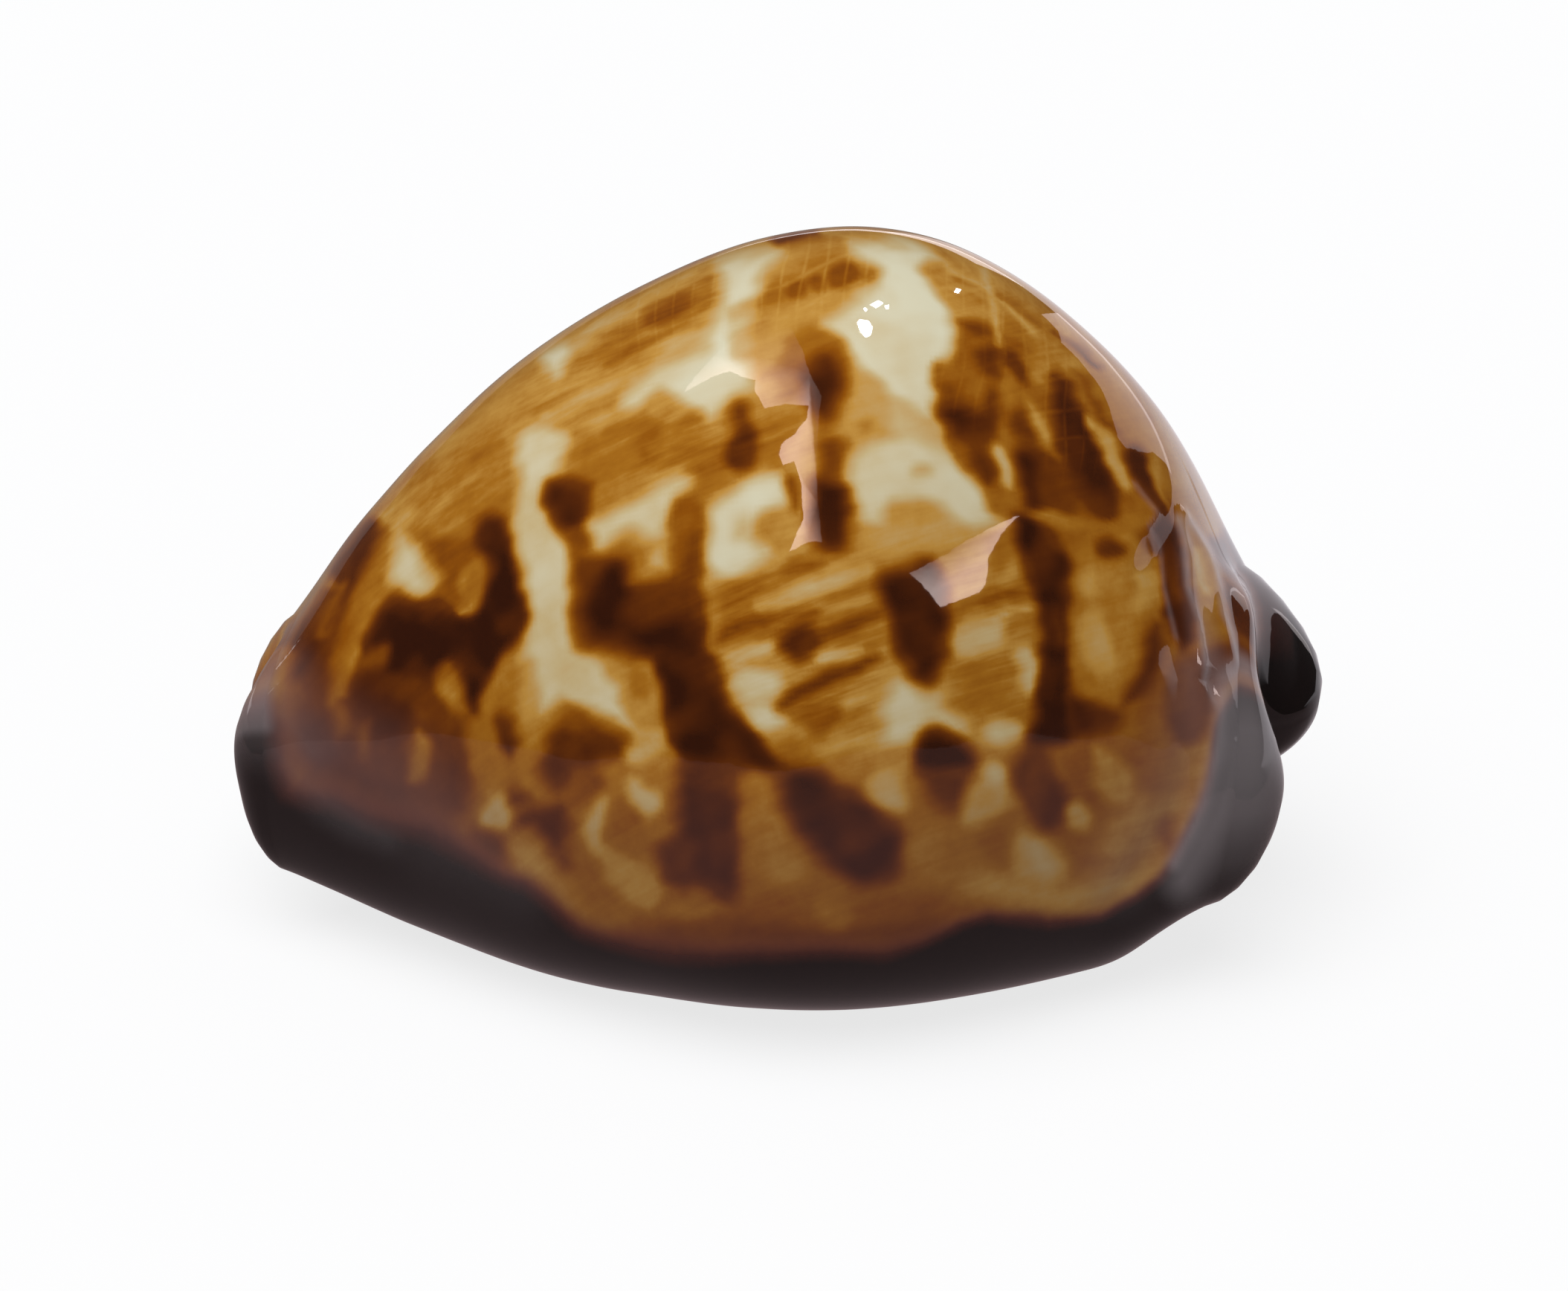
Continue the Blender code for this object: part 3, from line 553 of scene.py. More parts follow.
CROWN_MARKS = [
    (0.86, 6, [(1046, 323, 6), (1072, 318, 6), (1096, 314, 5)]),
    # Painted reflection: a dark line where the gloss shows the dark edge of a window frame
    (0.97, 4, [(1418, 447, 3), (1440, 466, 5), (1462, 481, 5), (1478, 492, 2)]),
    (0.47, 12, [(1050, 358), (1120, 322), (1150, 322), (1150, 344), (1060, 366)]),
    (0.54, 7, [
        (1022, 402), (1029, 384), (1060, 361), (1090, 350), (1146, 342), (1157, 350), (1182, 352),
        (1184, 370), (1170, 382), (1050, 413), (1025, 422),
    ]),
    (0.70, 4, [(1060, 379), (1083, 372), (1088, 396), (1062, 404)]),
    (0.70, 4, [(1086, 370), (1106, 366), (1112, 390), (1091, 396)]),
    (0.71, 4, [(1109, 364), (1150, 350), (1156, 383), (1115, 391)]),
    (0.60, 4, [(1031, 385), (1055, 376), (1058, 405), (1031, 413)]),
    (0.60, 5, [(1160, 352), (1175, 352), (1179, 368), (1166, 379), (1160, 377)]),
    (0.46, 9, [(1065, 413), (1150, 393), (1156, 402), (1140, 416), (1095, 434), (1068, 430)]),
    (0.44, 10, [(1018, 440), (1045, 428), (1070, 432), (1044, 492), (1018, 492)]),
    (0.03, 12, [
        (1140, 330), (1215, 322), (1245, 333), (1262, 350), (1242, 352), (1238, 372), (1270, 396),
        (1278, 415), (1285, 468), (1257, 486), (1252, 540), (1257, 562), (1240, 565), (1146, 488),
        (1130, 450), (1115, 438), (1100, 432), (1152, 410), (1158, 396), (1176, 388), (1186, 372),
        (1181, 354), (1148, 340),
    ]),
    (0.62, 9, [
        (1051, 465), (1064, 450), (1105, 440), (1126, 451), (1138, 470), (1147, 512), (1141, 540),
        (1120, 577), (1105, 590), (1095, 580), (1085, 542), (1060, 541), (1040, 532),
    ]),
    (0.96, 9, [
        (1092, 482), (1110, 472), (1126, 478), (1136, 515), (1118, 556), (1104, 563), (1092, 532),
        (1072, 513),
    ]),
    (0.40, 12, [
        (1146, 508), (1160, 502), (1176, 510), (1196, 542), (1196, 562), (1185, 576), (1154, 592),
        (1138, 588),
    ]),
    (0.54, 9, [(1166, 572, 12)]),
    (0.24, 12, [(1194, 538), (1215, 544), (1240, 567), (1268, 570), (1270, 582), (1240, 590), (1200, 587)]),
    (0.66, 8, [
        (1098, 594), (1120, 587), (1141, 590), (1147, 605), (1132, 645), (1142, 665), (1152, 682),
        (1100, 684), (1097, 640),
    ]),
    (0.78, 8, [(1114, 604, 12), (1117, 622, 14)]),
    (0.10, 13, [
        (1152, 600), (1200, 590), (1260, 591), (1277, 602), (1317, 665), (1328, 682), (1260, 668),
        (1160, 676), (1140, 640),
    ]),
    (0.38, 9, [(1241, 640, 15)]),
    (0.50, 8, [
        (1245, 355), (1262, 363), (1275, 350), (1330, 372), (1345, 388), (1340, 424), (1320, 432),
        (1290, 427), (1246, 381),
    ]),
    (0.66, 7, [
        (1285, 432), (1300, 426), (1330, 430), (1345, 450), (1350, 592), (1338, 600), (1360, 668),
        (1350, 682), (1325, 676), (1305, 652), (1267, 581), (1254, 530), (1257, 484), (1270, 484),
        (1280, 491), (1289, 477),
    ]),
    (0.82, 6, [(1290, 433), (1310, 427), (1330, 440), (1323, 451), (1300, 448)]),
    (0.88, 8, [(1316, 472), (1340, 462), (1346, 500), (1342, 516), (1313, 492)]),
    (0.76, 8, [(1261, 516), (1280, 512), (1286, 540), (1270, 547), (1261, 536)]),
    (0.86, 8, [(1323, 523), (1340, 523), (1343, 560), (1336, 592), (1324, 560)]),
    (1.00, 8, [(1270, 548), (1290, 541), (1341, 565), (1339, 586), (1326, 597), (1300, 595), (1271, 566)]),
    (0.90, 7, [(1313, 600), (1329, 603), (1336, 630), (1331, 652), (1318, 648), (1306, 626)]),
    (0.28, 6, [(1336, 600), (1350, 597), (1362, 650), (1355, 663), (1344, 650)]),
    (0.94, 6, [(1351, 470), (1370, 477), (1386, 495), (1391, 512), (1376, 516), (1351, 488)]),
    (0.82, 7, [(1354, 551), (1375, 555), (1395, 580), (1401, 592), (1380, 596), (1362, 582)]),
    (0.98, 8, [
        (1368, 600), (1395, 604), (1411, 615), (1432, 670), (1442, 686), (1395, 692), (1379, 671),
        (1361, 621),
    ]),
    (0.42, 7, [(1375, 538), (1391, 544), (1411, 575), (1425, 622), (1412, 616), (1384, 565)]),
    (0.66, 5, [(1290, 372, 5), (1350, 402, 6), (1400, 440, 6), (1438, 478, 6)]),
    (0.66, 5, [(1350, 452, 6), (1400, 482, 6), (1420, 502, 6)]),
    (0.34, 5, [(1265, 350, 3), (1330, 392, 3), (1400, 450, 3)]),
    (0.34, 4, [(1322, 362, 3), (1336, 410, 3), (1342, 460, 3)]),
]
MIDDLE_MARKS = [
    (0.13, 10, [
        (695, 600), (706, 583), (730, 577), (771, 588), (765, 605), (729, 665), (731, 685), (745, 712),
        (767, 728), (769, 745), (763, 790), (772, 862), (785, 878), (812, 893), (838, 955), (857, 976),
        (852, 987), (830, 968), (768, 938), (752, 938), (735, 955), (724, 958), (701, 870), (715, 825),
        (705, 785), (692, 700), (702, 645),
    ]),
    (0.38, 14, [(702, 885), (716, 900), (722, 950), (712, 965), (700, 960)]),
    (0.18, 14, [(760, 900, 22), (800, 925, 20)]),
    (0.66, 7, [
        (727, 668), (729, 650), (741, 640), (799, 644), (806, 656), (790, 718), (775, 724), (755, 721),
        (741, 711),
    ]),
    (0.92, 7, [
        (736, 655), (744, 646), (797, 653), (795, 670), (788, 703), (778, 712), (753, 710), (737, 684),
    ]),
    (0.74, 8, [(768, 714), (796, 710), (790, 748), (770, 752), (764, 736)]),
    (0.10, 12, [
        (800, 697), (865, 675), (905, 637), (926, 639), (931, 650), (905, 675), (893, 712), (880, 722),
        (835, 712), (808, 736), (798, 727), (795, 708),
    ]),
    (0.30, 12, [(868, 738), (890, 730), (901, 745), (899, 766), (880, 771), (866, 757)]),
    (0.66, 9, [
        (768, 745), (775, 735), (790, 745), (835, 734), (852, 739), (872, 776), (900, 790), (940, 780),
        (955, 800), (950, 830), (935, 830), (905, 870), (862, 892), (835, 892), (815, 872), (795, 878),
        (778, 871), (768, 850), (763, 780),
    ]),
    (0.52, 8, [(850, 740), (868, 735), (880, 760), (900, 775), (895, 788), (872, 784), (856, 765)]),
    (0.66, 7, [
        (905, 674), (920, 667), (941, 671), (952, 690), (946, 740), (950, 770), (942, 787), (899, 792),
        (897, 770), (904, 750), (902, 720), (894, 705),
    ]),
    (0.78, 8, [(920, 720), (942, 715), (944, 770), (930, 785), (905, 785)]),
    (0.84, 8, [
        (772, 752), (790, 746), (832, 750), (849, 765), (843, 785), (852, 790), (880, 790), (925, 765),
        (938, 775), (950, 800), (948, 840), (970, 920), (985, 950), (1050, 1020), (1042, 1036), (900, 1024),
        (892, 960), (885, 910), (870, 887), (840, 886), (825, 872), (780, 862), (772, 840),
    ]),
    (1.00, 8, [
        (794, 775), (810, 761), (830, 759), (846, 790), (860, 800), (900, 806), (920, 790), (935, 790),
        (940, 835), (967, 940), (980, 955), (1012, 985), (1038, 1020), (1060, 1030), (1020, 1038),
        (940, 1029), (915, 1022), (904, 1000), (886, 895), (880, 881), (868, 881), (845, 861), (815, 851),
        (800, 851), (783, 820),
    ]),
    (0.86, 12, [(862, 790), (900, 792), (925, 800), (905, 830), (870, 838), (850, 820)]),
    (0.06, 11, [
        (955, 682), (1000, 655), (1040, 640), (1055, 648), (1057, 668), (1030, 681), (1005, 724),
        (1020, 735), (1042, 738), (1000, 776), (985, 781), (957, 765), (950, 750), (958, 710),
    ]),
    (0.24, 12, [(985, 695), (1010, 690), (1016, 715), (1000, 728), (985, 725)]),
    (0.48, 9, [(1030, 688), (1045, 684), (1062, 690), (1064, 710), (1035, 729), (1014, 712)]),
    (0.58, 10, [
        (955, 792), (975, 786), (1035, 775), (1060, 760), (1082, 763), (1040, 799), (1050, 820),
        (1050, 850), (980, 875), (962, 870),
    ]),
    (0.72, 6, [(980, 850, 7), (1010, 838, 8), (1050, 828, 8), (1085, 820, 6)]),
    (0.66, 6, [(975, 812, 7), (1005, 800, 8), (1022, 790, 5)]),
    (0.28, 7, [(965, 876), (985, 868), (1050, 861), (1042, 872), (1000, 889), (975, 892)]),
    (0.16, 10, [(984, 905), (1000, 897), (1042, 904), (1048, 920), (1037, 936), (1004, 951), (981, 925)]),
    (0.14, 9, [(1005, 952), (1025, 945), (1064, 960), (1057, 976), (1025, 986), (1001, 963)]),
    (0.46, 12, [
        (825, 892), (850, 891), (875, 902), (880, 950), (898, 1000), (880, 1000), (860, 990), (819, 910),
    ]),
    (0.60, 9, [(842, 902), (870, 905), (878, 925), (862, 940), (842, 928)]),
    (0.30, 9, [(858, 990, 7), (885, 990, 7), (850, 1018, 7)]),
    (0.60, 8, [
        (735, 965), (750, 948), (770, 941), (806, 965), (832, 972), (852, 990), (852, 1016), (840, 1034),
        (740, 1048), (723, 1022),
    ]),
    (0.86, 8, [
        (737, 992), (757, 966), (775, 958), (800, 977), (830, 983), (841, 996), (843, 1011), (835, 1022),
        (800, 1022), (765, 1042), (742, 1042), (732, 1020),
    ]),
    (0.74, 9, [(748, 968), (775, 958), (795, 970), (785, 985), (760, 988)]),
]
RIGHT_MIDDLE_MARKS = [
    (0.62, 7, [
        (1082, 640), (1132, 640), (1152, 660), (1160, 715), (1152, 737), (1140, 747), (1120, 750),
        (1082, 742), (1078, 700),
    ]),
    (0.97, 8, [
        (1096, 640), (1134, 649), (1141, 665), (1141, 715), (1135, 736), (1120, 743), (1094, 728),
        (1091, 665),
    ]),
    (0.76, 6, [(1057, 640), (1074, 640), (1071, 665), (1066, 692), (1057, 680)]),
    (0.40, 14, [(1030, 800), (1225, 705), (1290, 700), (1300, 722), (1200, 745), (1120, 785), (1040, 812)]),
    (0.68, 8, [(1048, 771), (1060, 750), (1080, 745), (1113, 750), (1100, 766), (1062, 777)]),
    (0.40, 14, [
        (1160, 680), (1180, 710), (1230, 673), (1260, 670), (1320, 715), (1290, 727), (1168, 752),
        (1152, 737),
    ]),
    (0.10, 10, [(1145, 655), (1165, 643), (1195, 648), (1189, 702), (1178, 707), (1163, 696)]),
    (0.10, 10, [
        (1195, 640), (1300, 640), (1311, 650), (1341, 685), (1352, 698), (1310, 713), (1292, 701),
        (1265, 668), (1200, 664),
    ]),
    (0.56, 16, [(1050, 810), (1190, 770), (1195, 860), (1150, 880), (1110, 890), (1050, 880)]),
    (0.34, 8, [(1025, 815, 6), (1100, 790, 8), (1165, 765, 7)]),
    (0.72, 7, [(1030, 838, 7), (1060, 828, 8), (1095, 826, 6)]),
    (0.72, 6, [(1112, 850, 6), (1150, 838, 7), (1182, 828, 6)]),
    (0.50, 6, [(1110, 815, 5), (1160, 805, 5), (1190, 800, 4)]),
    (0.95, 8, [(1047, 856), (1080, 839), (1099, 847), (1107, 862), (1085, 889), (1067, 891), (1045, 868)]),
    (0.26, 7, [(1098, 886), (1115, 872), (1167, 867), (1150, 879), (1105, 896)]),
    (0.82, 7, [
        (1040, 946), (1055, 930), (1110, 900), (1170, 879), (1187, 877), (1181, 891), (1060, 956),
        (1044, 956),
    ]),
    (0.70, 9, [(1060, 956), (1120, 940), (1142, 950), (1137, 965), (1100, 991), (1080, 986), (1063, 971)]),
    (0.46, 11, [(1130, 935), (1185, 904), (1202, 915), (1180, 966), (1135, 992), (1120, 986), (1135, 965)]),
    (0.60, 10, [(1035, 992), (1062, 985), (1075, 1000), (1060, 1018), (1040, 1015)]),
    (0.34, 12, [(1100, 1000), (1180, 984), (1202, 995), (1191, 1016), (1150, 1027), (1110, 1022)]),
    (0.64, 7, [
        (1169, 787), (1178, 765), (1246, 743), (1267, 751), (1278, 770), (1285, 830), (1280, 890),
        (1256, 928), (1240, 931), (1224, 923), (1210, 907), (1192, 835), (1176, 815),
    ]),
    (1.00, 8, [
        (1181, 795), (1187, 779), (1204, 768), (1230, 764), (1250, 752), (1265, 763), (1275, 840),
        (1266, 896), (1252, 915), (1238, 918), (1223, 908),
    ]),
    (0.54, 16, [(1285, 880), (1340, 880), (1390, 930), (1380, 960), (1320, 965), (1275, 930)]),
    (0.58, 12, [(1292, 905), (1330, 895), (1362, 910), (1360, 940), (1320, 945), (1295, 930)]),
    (0.24, 10, [(1280, 866), (1295, 850), (1345, 833), (1357, 845), (1352, 861), (1310, 882), (1288, 882)]),
    (0.22, 9, [(1369, 877), (1385, 863), (1397, 880), (1393, 932), (1380, 927), (1369, 905)]),
    (0.60, 8, [
        (1330, 740), (1345, 724), (1364, 719), (1380, 780), (1391, 800), (1380, 816), (1320, 816),
        (1300, 821), (1284, 842), (1278, 822), (1290, 810), (1320, 800), (1335, 765),
    ]),
    (0.50, 8, [(1360, 745), (1374, 770), (1372, 795), (1350, 795), (1345, 770)]),
    (0.74, 5, [(1320, 810, 4), (1370, 801, 6), (1395, 795, 5)]),
    (0.34, 4, [(1290, 850, 3), (1340, 829, 3), (1396, 812, 3)]),
    (0.56, 9, [(1355, 830), (1395, 822), (1398, 860), (1370, 868), (1350, 860)]),
    (1.00, 7, [
        (1358, 692), (1375, 689), (1415, 714), (1444, 755), (1446, 820), (1440, 870), (1442, 940),
        (1450, 1000), (1395, 1006), (1379, 1001), (1394, 950), (1401, 880), (1397, 800), (1379, 765),
    ]),
    (0.86, 9, [(1408, 812), (1430, 812), (1434, 860), (1420, 875), (1408, 855)]),
    (0.62, 9, [(1325, 655), (1360, 665), (1366, 680), (1361, 690), (1345, 696), (1330, 682)]),
    (0.14, 12, [
        (1195, 930), (1210, 905), (1240, 935), (1270, 935), (1265, 955), (1310, 978), (1290, 985),
        (1245, 975), (1220, 1000), (1205, 1005), (1189, 997), (1184, 975),
    ]),
    (0.18, 10, [
        (1320, 986), (1335, 970), (1350, 967), (1371, 975), (1373, 991), (1355, 1001), (1335, 1001),
    ]),
    (0.60, 7, [
        (1229, 986), (1252, 973), (1277, 976), (1300, 987), (1317, 1005), (1322, 1028), (1308, 1044),
        (1236, 1044), (1219, 1028),
    ]),
    (1.00, 7, [
        (1236, 990), (1255, 980), (1295, 993), (1310, 1009), (1314, 1026), (1302, 1040), (1238, 1040),
        (1226, 1026),
    ]),
]
SPIRE_SIDE_MARKS = [
    (0.56, 16, [(1440, 700), (1560, 690), (1565, 860), (1500, 980), (1440, 960)]),
    (0.52, 10, [
        (1380, 440), (1430, 455), (1470, 500), (1500, 560), (1480, 570), (1440, 500), (1410, 520),
        (1385, 510),
    ]),
    (0.74, 7, [(1440, 493), (1462, 508), (1487, 543), (1515, 607), (1500, 602), (1480, 562), (1455, 531)]),
    (0.82, 9, [(1403, 598), (1426, 624), (1457, 687), (1430, 692), (1398, 682), (1384, 620)]),
    (0.96, 7, [
        (1416, 498), (1433, 504), (1480, 600), (1502, 660), (1504, 682), (1496, 700), (1480, 702),
        (1430, 636), (1418, 565),
    ]),
    (0.36, 6, [
        (1458, 558), (1475, 563), (1491, 580), (1520, 630), (1527, 650), (1521, 662), (1505, 652),
        (1475, 592), (1461, 577),
    ]),
    (0.56, 7, [
        (1380, 692), (1410, 681), (1470, 706), (1500, 705), (1540, 695), (1556, 690), (1546, 711),
        (1510, 722), (1480, 722), (1400, 706),
    ]),
    (0.88, 6, [(1477, 728), (1500, 721), (1513, 735), (1509, 749), (1490, 753), (1477, 746)]),
    (0.78, 7, [(1530, 718), (1550, 712), (1562, 745), (1545, 748), (1532, 735)]),
    (0.54, 9, [
        (1449, 770), (1470, 754), (1500, 756), (1530, 742), (1556, 750), (1562, 790), (1559, 840),
        (1550, 870), (1515, 930), (1495, 946), (1470, 941), (1449, 915), (1439, 880), (1443, 800),
    ]),
    (0.40, 9, [(1450, 830), (1465, 818), (1485, 828), (1507, 890), (1490, 907), (1470, 907), (1448, 860)]),
    (0.42, 8, [(1525, 770), (1545, 764), (1551, 790), (1546, 820), (1530, 832), (1519, 811), (1530, 790)]),
    (0.42, 8, [(1452, 790), (1468, 768), (1480, 775), (1470, 800), (1456, 810)]),
    (0.88, 8, [
        (1540, 862), (1560, 828), (1566, 870), (1560, 900), (1542, 932), (1520, 947), (1503, 952),
        (1540, 890),
    ]),
    (0.92, 8, [(1436, 930), (1460, 941), (1512, 960), (1502, 977), (1470, 990), (1436, 992)]),
    (0.94, 5, [
        (1515, 600), (1540, 604), (1551, 625), (1591, 730), (1604, 800), (1606, 856), (1599, 873),
        (1588, 879), (1569, 826), (1559, 745), (1546, 715), (1559, 690), (1529, 645), (1519, 620),
    ]),
    (0.84, 7, [(1570, 735), (1588, 738), (1597, 800), (1585, 815), (1574, 800)]),
    (0.50, 5, [(1544, 607), (1562, 611), (1570, 670), (1575, 694), (1563, 672), (1545, 625)]),
    (0.54, 5, [(1607, 733), (1620, 734), (1633, 760), (1646, 836), (1636, 846), (1625, 841), (1607, 765)]),
    (0.34, 5, [(1612, 742, 4), (1618, 770, 5), (1622, 795, 4)]),
    (0.80, 8, [
        (1560, 900), (1600, 880), (1650, 860), (1690, 860), (1680, 900), (1640, 930), (1620, 1000),
        (1570, 1000),
    ]),
    # Painted reflection: these two darkest marks between the folds of the callus stand for dark surroundings
    # in the gloss
    (0.90, 6, [(1642, 775), (1655, 782), (1702, 815), (1706, 830), (1702, 845), (1665, 860), (1655, 845)]),
    (1.00, 4, [(1627, 726), (1640, 720), (1655, 724), (1690, 790), (1678, 792), (1645, 765)]),
]
FOOT_MARKS = [
    (0.54, 12, [
        (680, 1130), (700, 1114), (720, 1119), (750, 1156), (790, 1222), (760, 1230), (705, 1192),
        (684, 1176),
    ]),
    (0.46, 10, [(692, 1140, 10), (715, 1155, 14), (730, 1170, 10)]),
    (0.52, 9, [(699, 1000), (730, 998), (736, 1020), (716, 1061), (705, 1051)]),
    (0.90, 10, [(734, 1008), (765, 998), (800, 1000), (780, 1051), (765, 1062), (745, 1067), (723, 1030)]),
    (0.94, 9, [
        (698, 1102), (712, 1089), (757, 1077), (767, 1090), (764, 1142), (748, 1147), (720, 1116),
        (703, 1114),
    ]),
    (0.86, 8, [(689, 1061), (712, 1061), (716, 1080), (694, 1087)]),
    (0.80, 9, [(745, 1141), (766, 1146), (777, 1166), (760, 1177), (746, 1160)]),
    (0.74, 9, [(770, 1030), (800, 1029), (816, 1045), (811, 1066), (775, 1092), (764, 1081), (775, 1045)]),
    (0.42, 9, [
        (800, 1074), (815, 1067), (823, 1085), (808, 1120), (813, 1136), (890, 1181), (896, 1200),
        (886, 1222), (865, 1228), (825, 1197), (784, 1131), (784, 1110),
    ]),
    (0.32, 8, [(803, 1090, 6), (798, 1110, 9), (800, 1130, 8)]),
    (0.68, 9, [(824, 1084), (845, 1079), (861, 1095), (866, 1111), (835, 1132), (819, 1121), (817, 1100)]),
    (0.52, 9, [
        (820, 1030), (901, 1009), (907, 1030), (896, 1071), (885, 1062), (865, 1046), (845, 1041),
        (830, 1051), (819, 1046),
    ]),
    (0.30, 9, [(847, 1005), (894, 997), (881, 1013), (852, 1031), (844, 1020)]),
    (0.24, 9, [
        (844, 1045), (856, 1044), (886, 1067), (892, 1080), (883, 1093), (868, 1096), (857, 1086),
        (844, 1058),
    ]),
    (0.56, 9, [(870, 1100), (900, 1100), (911, 1116), (895, 1126), (874, 1121)]),
    (0.95, 10, [
        (909, 1030), (940, 1019), (976, 1019), (992, 1035), (997, 1090), (991, 1120), (997, 1181),
        (991, 1207), (978, 1217), (949, 1197), (920, 1193), (900, 1180), (884, 1156), (884, 1140),
        (905, 1130), (917, 1110), (909, 1055),
    ]),
    (0.84, 9, [(888, 1142), (925, 1125), (940, 1150), (940, 1185), (915, 1185), (895, 1165)]),
    (0.56, 10, [
        (1001, 1042), (1020, 1035), (1048, 1060), (1070, 1120), (1102, 1166), (1080, 1192), (1010, 1197),
        (1000, 1180),
    ]),
    (0.48, 9, [(1020, 1160), (1060, 1150), (1090, 1160), (1080, 1182), (1030, 1185)]),
    (0.60, 10, [
        (895, 1200), (940, 1196), (976, 1226), (985, 1228), (975, 1243), (940, 1248), (900, 1243),
        (889, 1226),
    ]),
    (0.52, 10, [(905, 1222, 8), (950, 1228, 9)]),
    (1.00, 10, [
        (1043, 1050), (1053, 1034), (1075, 1028), (1171, 1074), (1182, 1095), (1212, 1120), (1215, 1140),
        (1207, 1167), (1190, 1183), (1165, 1191), (1144, 1183), (1080, 1132), (1043, 1070),
    ]),
    (0.52, 11, [(1110, 1013), (1200, 1004), (1224, 1004), (1225, 1030), (1150, 1051), (1120, 1046)]),
    (0.32, 10, [
        (1163, 1050), (1185, 1039), (1206, 1045), (1227, 1080), (1216, 1097), (1195, 1091), (1168, 1062),
    ]),
    (0.88, 10, [
        (1228, 1035), (1314, 1035), (1308, 1060), (1297, 1082), (1280, 1093), (1260, 1087), (1233, 1050),
    ]),
    (0.36, 11, [
        (1310, 1050), (1330, 1029), (1350, 1029), (1357, 1050), (1357, 1096), (1300, 1112), (1288, 1101),
    ]),
    (0.20, 9, [(1337, 1040, 12)]),
    (0.94, 9, [
        (1380, 1008), (1400, 1003), (1416, 1050), (1430, 1060), (1435, 1080), (1427, 1106), (1410, 1120),
        (1395, 1114), (1363, 1050), (1366, 1030),
    ]),
    (0.66, 10, [(1325, 1120), (1355, 1099), (1363, 1115), (1351, 1161), (1338, 1172), (1321, 1138)]),
    (0.36, 12, [
        (1370, 1120), (1390, 1119), (1432, 1145), (1440, 1165), (1427, 1187), (1405, 1197), (1385, 1192),
        (1369, 1176), (1364, 1150),
    ]),
    (0.26, 9, [(1395, 1140, 8), (1405, 1165, 10)]),
    (0.82, 14, [
        (820, 1244), (1000, 1238), (1100, 1246), (1200, 1234), (1270, 1230), (1290, 1300), (820, 1300),
    ]),
    (0.42, 16, [
        (1280, 1150), (1420, 1195), (1480, 1180), (1530, 1150), (1550, 1185), (1500, 1215), (1420, 1222),
        (1330, 1212), (1270, 1205),
    ]),
    (0.52, 14, [(1225, 1105), (1300, 1115), (1315, 1150), (1290, 1195), (1240, 1200), (1225, 1160)]),
    (0.68, 12, [(1040, 1202), (1120, 1215), (1250, 1205), (1260, 1225), (1150, 1245), (1050, 1240)]),
    (0.58, 10, [(1095, 1205), (1125, 1200), (1145, 1215), (1140, 1245), (1105, 1250)]),
    (0.68, 9, [(1424, 1010), (1460, 1004), (1477, 1020), (1471, 1041), (1450, 1047), (1428, 1036)]),
    (0.44, 9, [
        (1474, 1000), (1500, 1010), (1520, 1030), (1531, 1055), (1521, 1077), (1500, 1081), (1479, 1071),
        (1469, 1050), (1480, 1030), (1470, 1010),
    ]),
    (0.34, 8, [
        (1434, 1086), (1445, 1077), (1461, 1085), (1471, 1100), (1463, 1116), (1448, 1119), (1437, 1106),
    ]),
    (0.52, 14, [(1500, 1080), (1580, 1060), (1600, 1090), (1570, 1160), (1510, 1180), (1470, 1150)]),
    (0.72, 9, [(1560, 1105), (1575, 1098), (1585, 1115), (1575, 1145), (1562, 1140)]),
]
ALL_MARKS = [
    BROAD_MARKS, FRONT_SLOPE_MARKS, FRONT_MARKS, CROWN_MARKS, MIDDLE_MARKS, RIGHT_MIDDLE_MARKS,
    SPIRE_SIDE_MARKS, FOOT_MARKS,
]

# The kinds of marks on the far side, as (depth, softness, count, radius and run of their blobs), in pixels
FAR_MARK_KINDS = [
    (0.60, 26, 30, 55, 80), (0.10, 12, 26, 32, 75), (0.34, 14, 22, 30, 60), (0.66, 12, 34, 38, 70),
    (0.90, 10, 26, 34, 60), (1.00, 9, 20, 26, 70), (0.08, 9, 12, 18, 45),
]
FAR_FIELD = ((350, 1650), (330, 1200))  # where their first blobs lie, across and down
FAR_STEPS = ((-0.7, 0.7), (-0.3, 1.0))  # from blob to blob across and down, in runs
FAR_LINKS = (1, 4)  # how many blobs follow: from the first number up to below the second
FAR_SIZES = (0.5, 1.1)  # in radii
FAR_DEPTHS = (-0.06, 0.06)  # added to their kind's depth
FAR_SHIFT = 1.5  # how many times as ragged they are

# Folds of the callus near the spire end and a healed growth line, as (height, softness, blobs) like the
# marks, and how far a point has to face the eye to take them
FOLD_VIEW = 0.1
FOLDS = [
    (0.00014, 9, [
        (1590, 690, 3), (1592, 720, 4), (1600, 750, 4), (1602, 800, 4), (1612, 850, 4), (1620, 900, 4),
    ]),
    (0.00012, 9, [(1592, 690, 3), (1625, 745, 4), (1642, 800, 4), (1648, 840, 4), (1660, 890, 3)]),
    (0.00014, 9, [(1640, 760, 3), (1690, 800, 4), (1705, 825, 5), (1705, 845, 5), (1695, 880, 4)]),
    (-0.00030, 12, [(1628, 915, 8), (1634, 935, 6)]),
    (0.00006, 5, [
        (1526, 647, 2), (1558, 690, 2), (1543, 715, 2), (1562, 780, 2), (1582, 845, 2), (1584, 875, 2),
    ]),
]


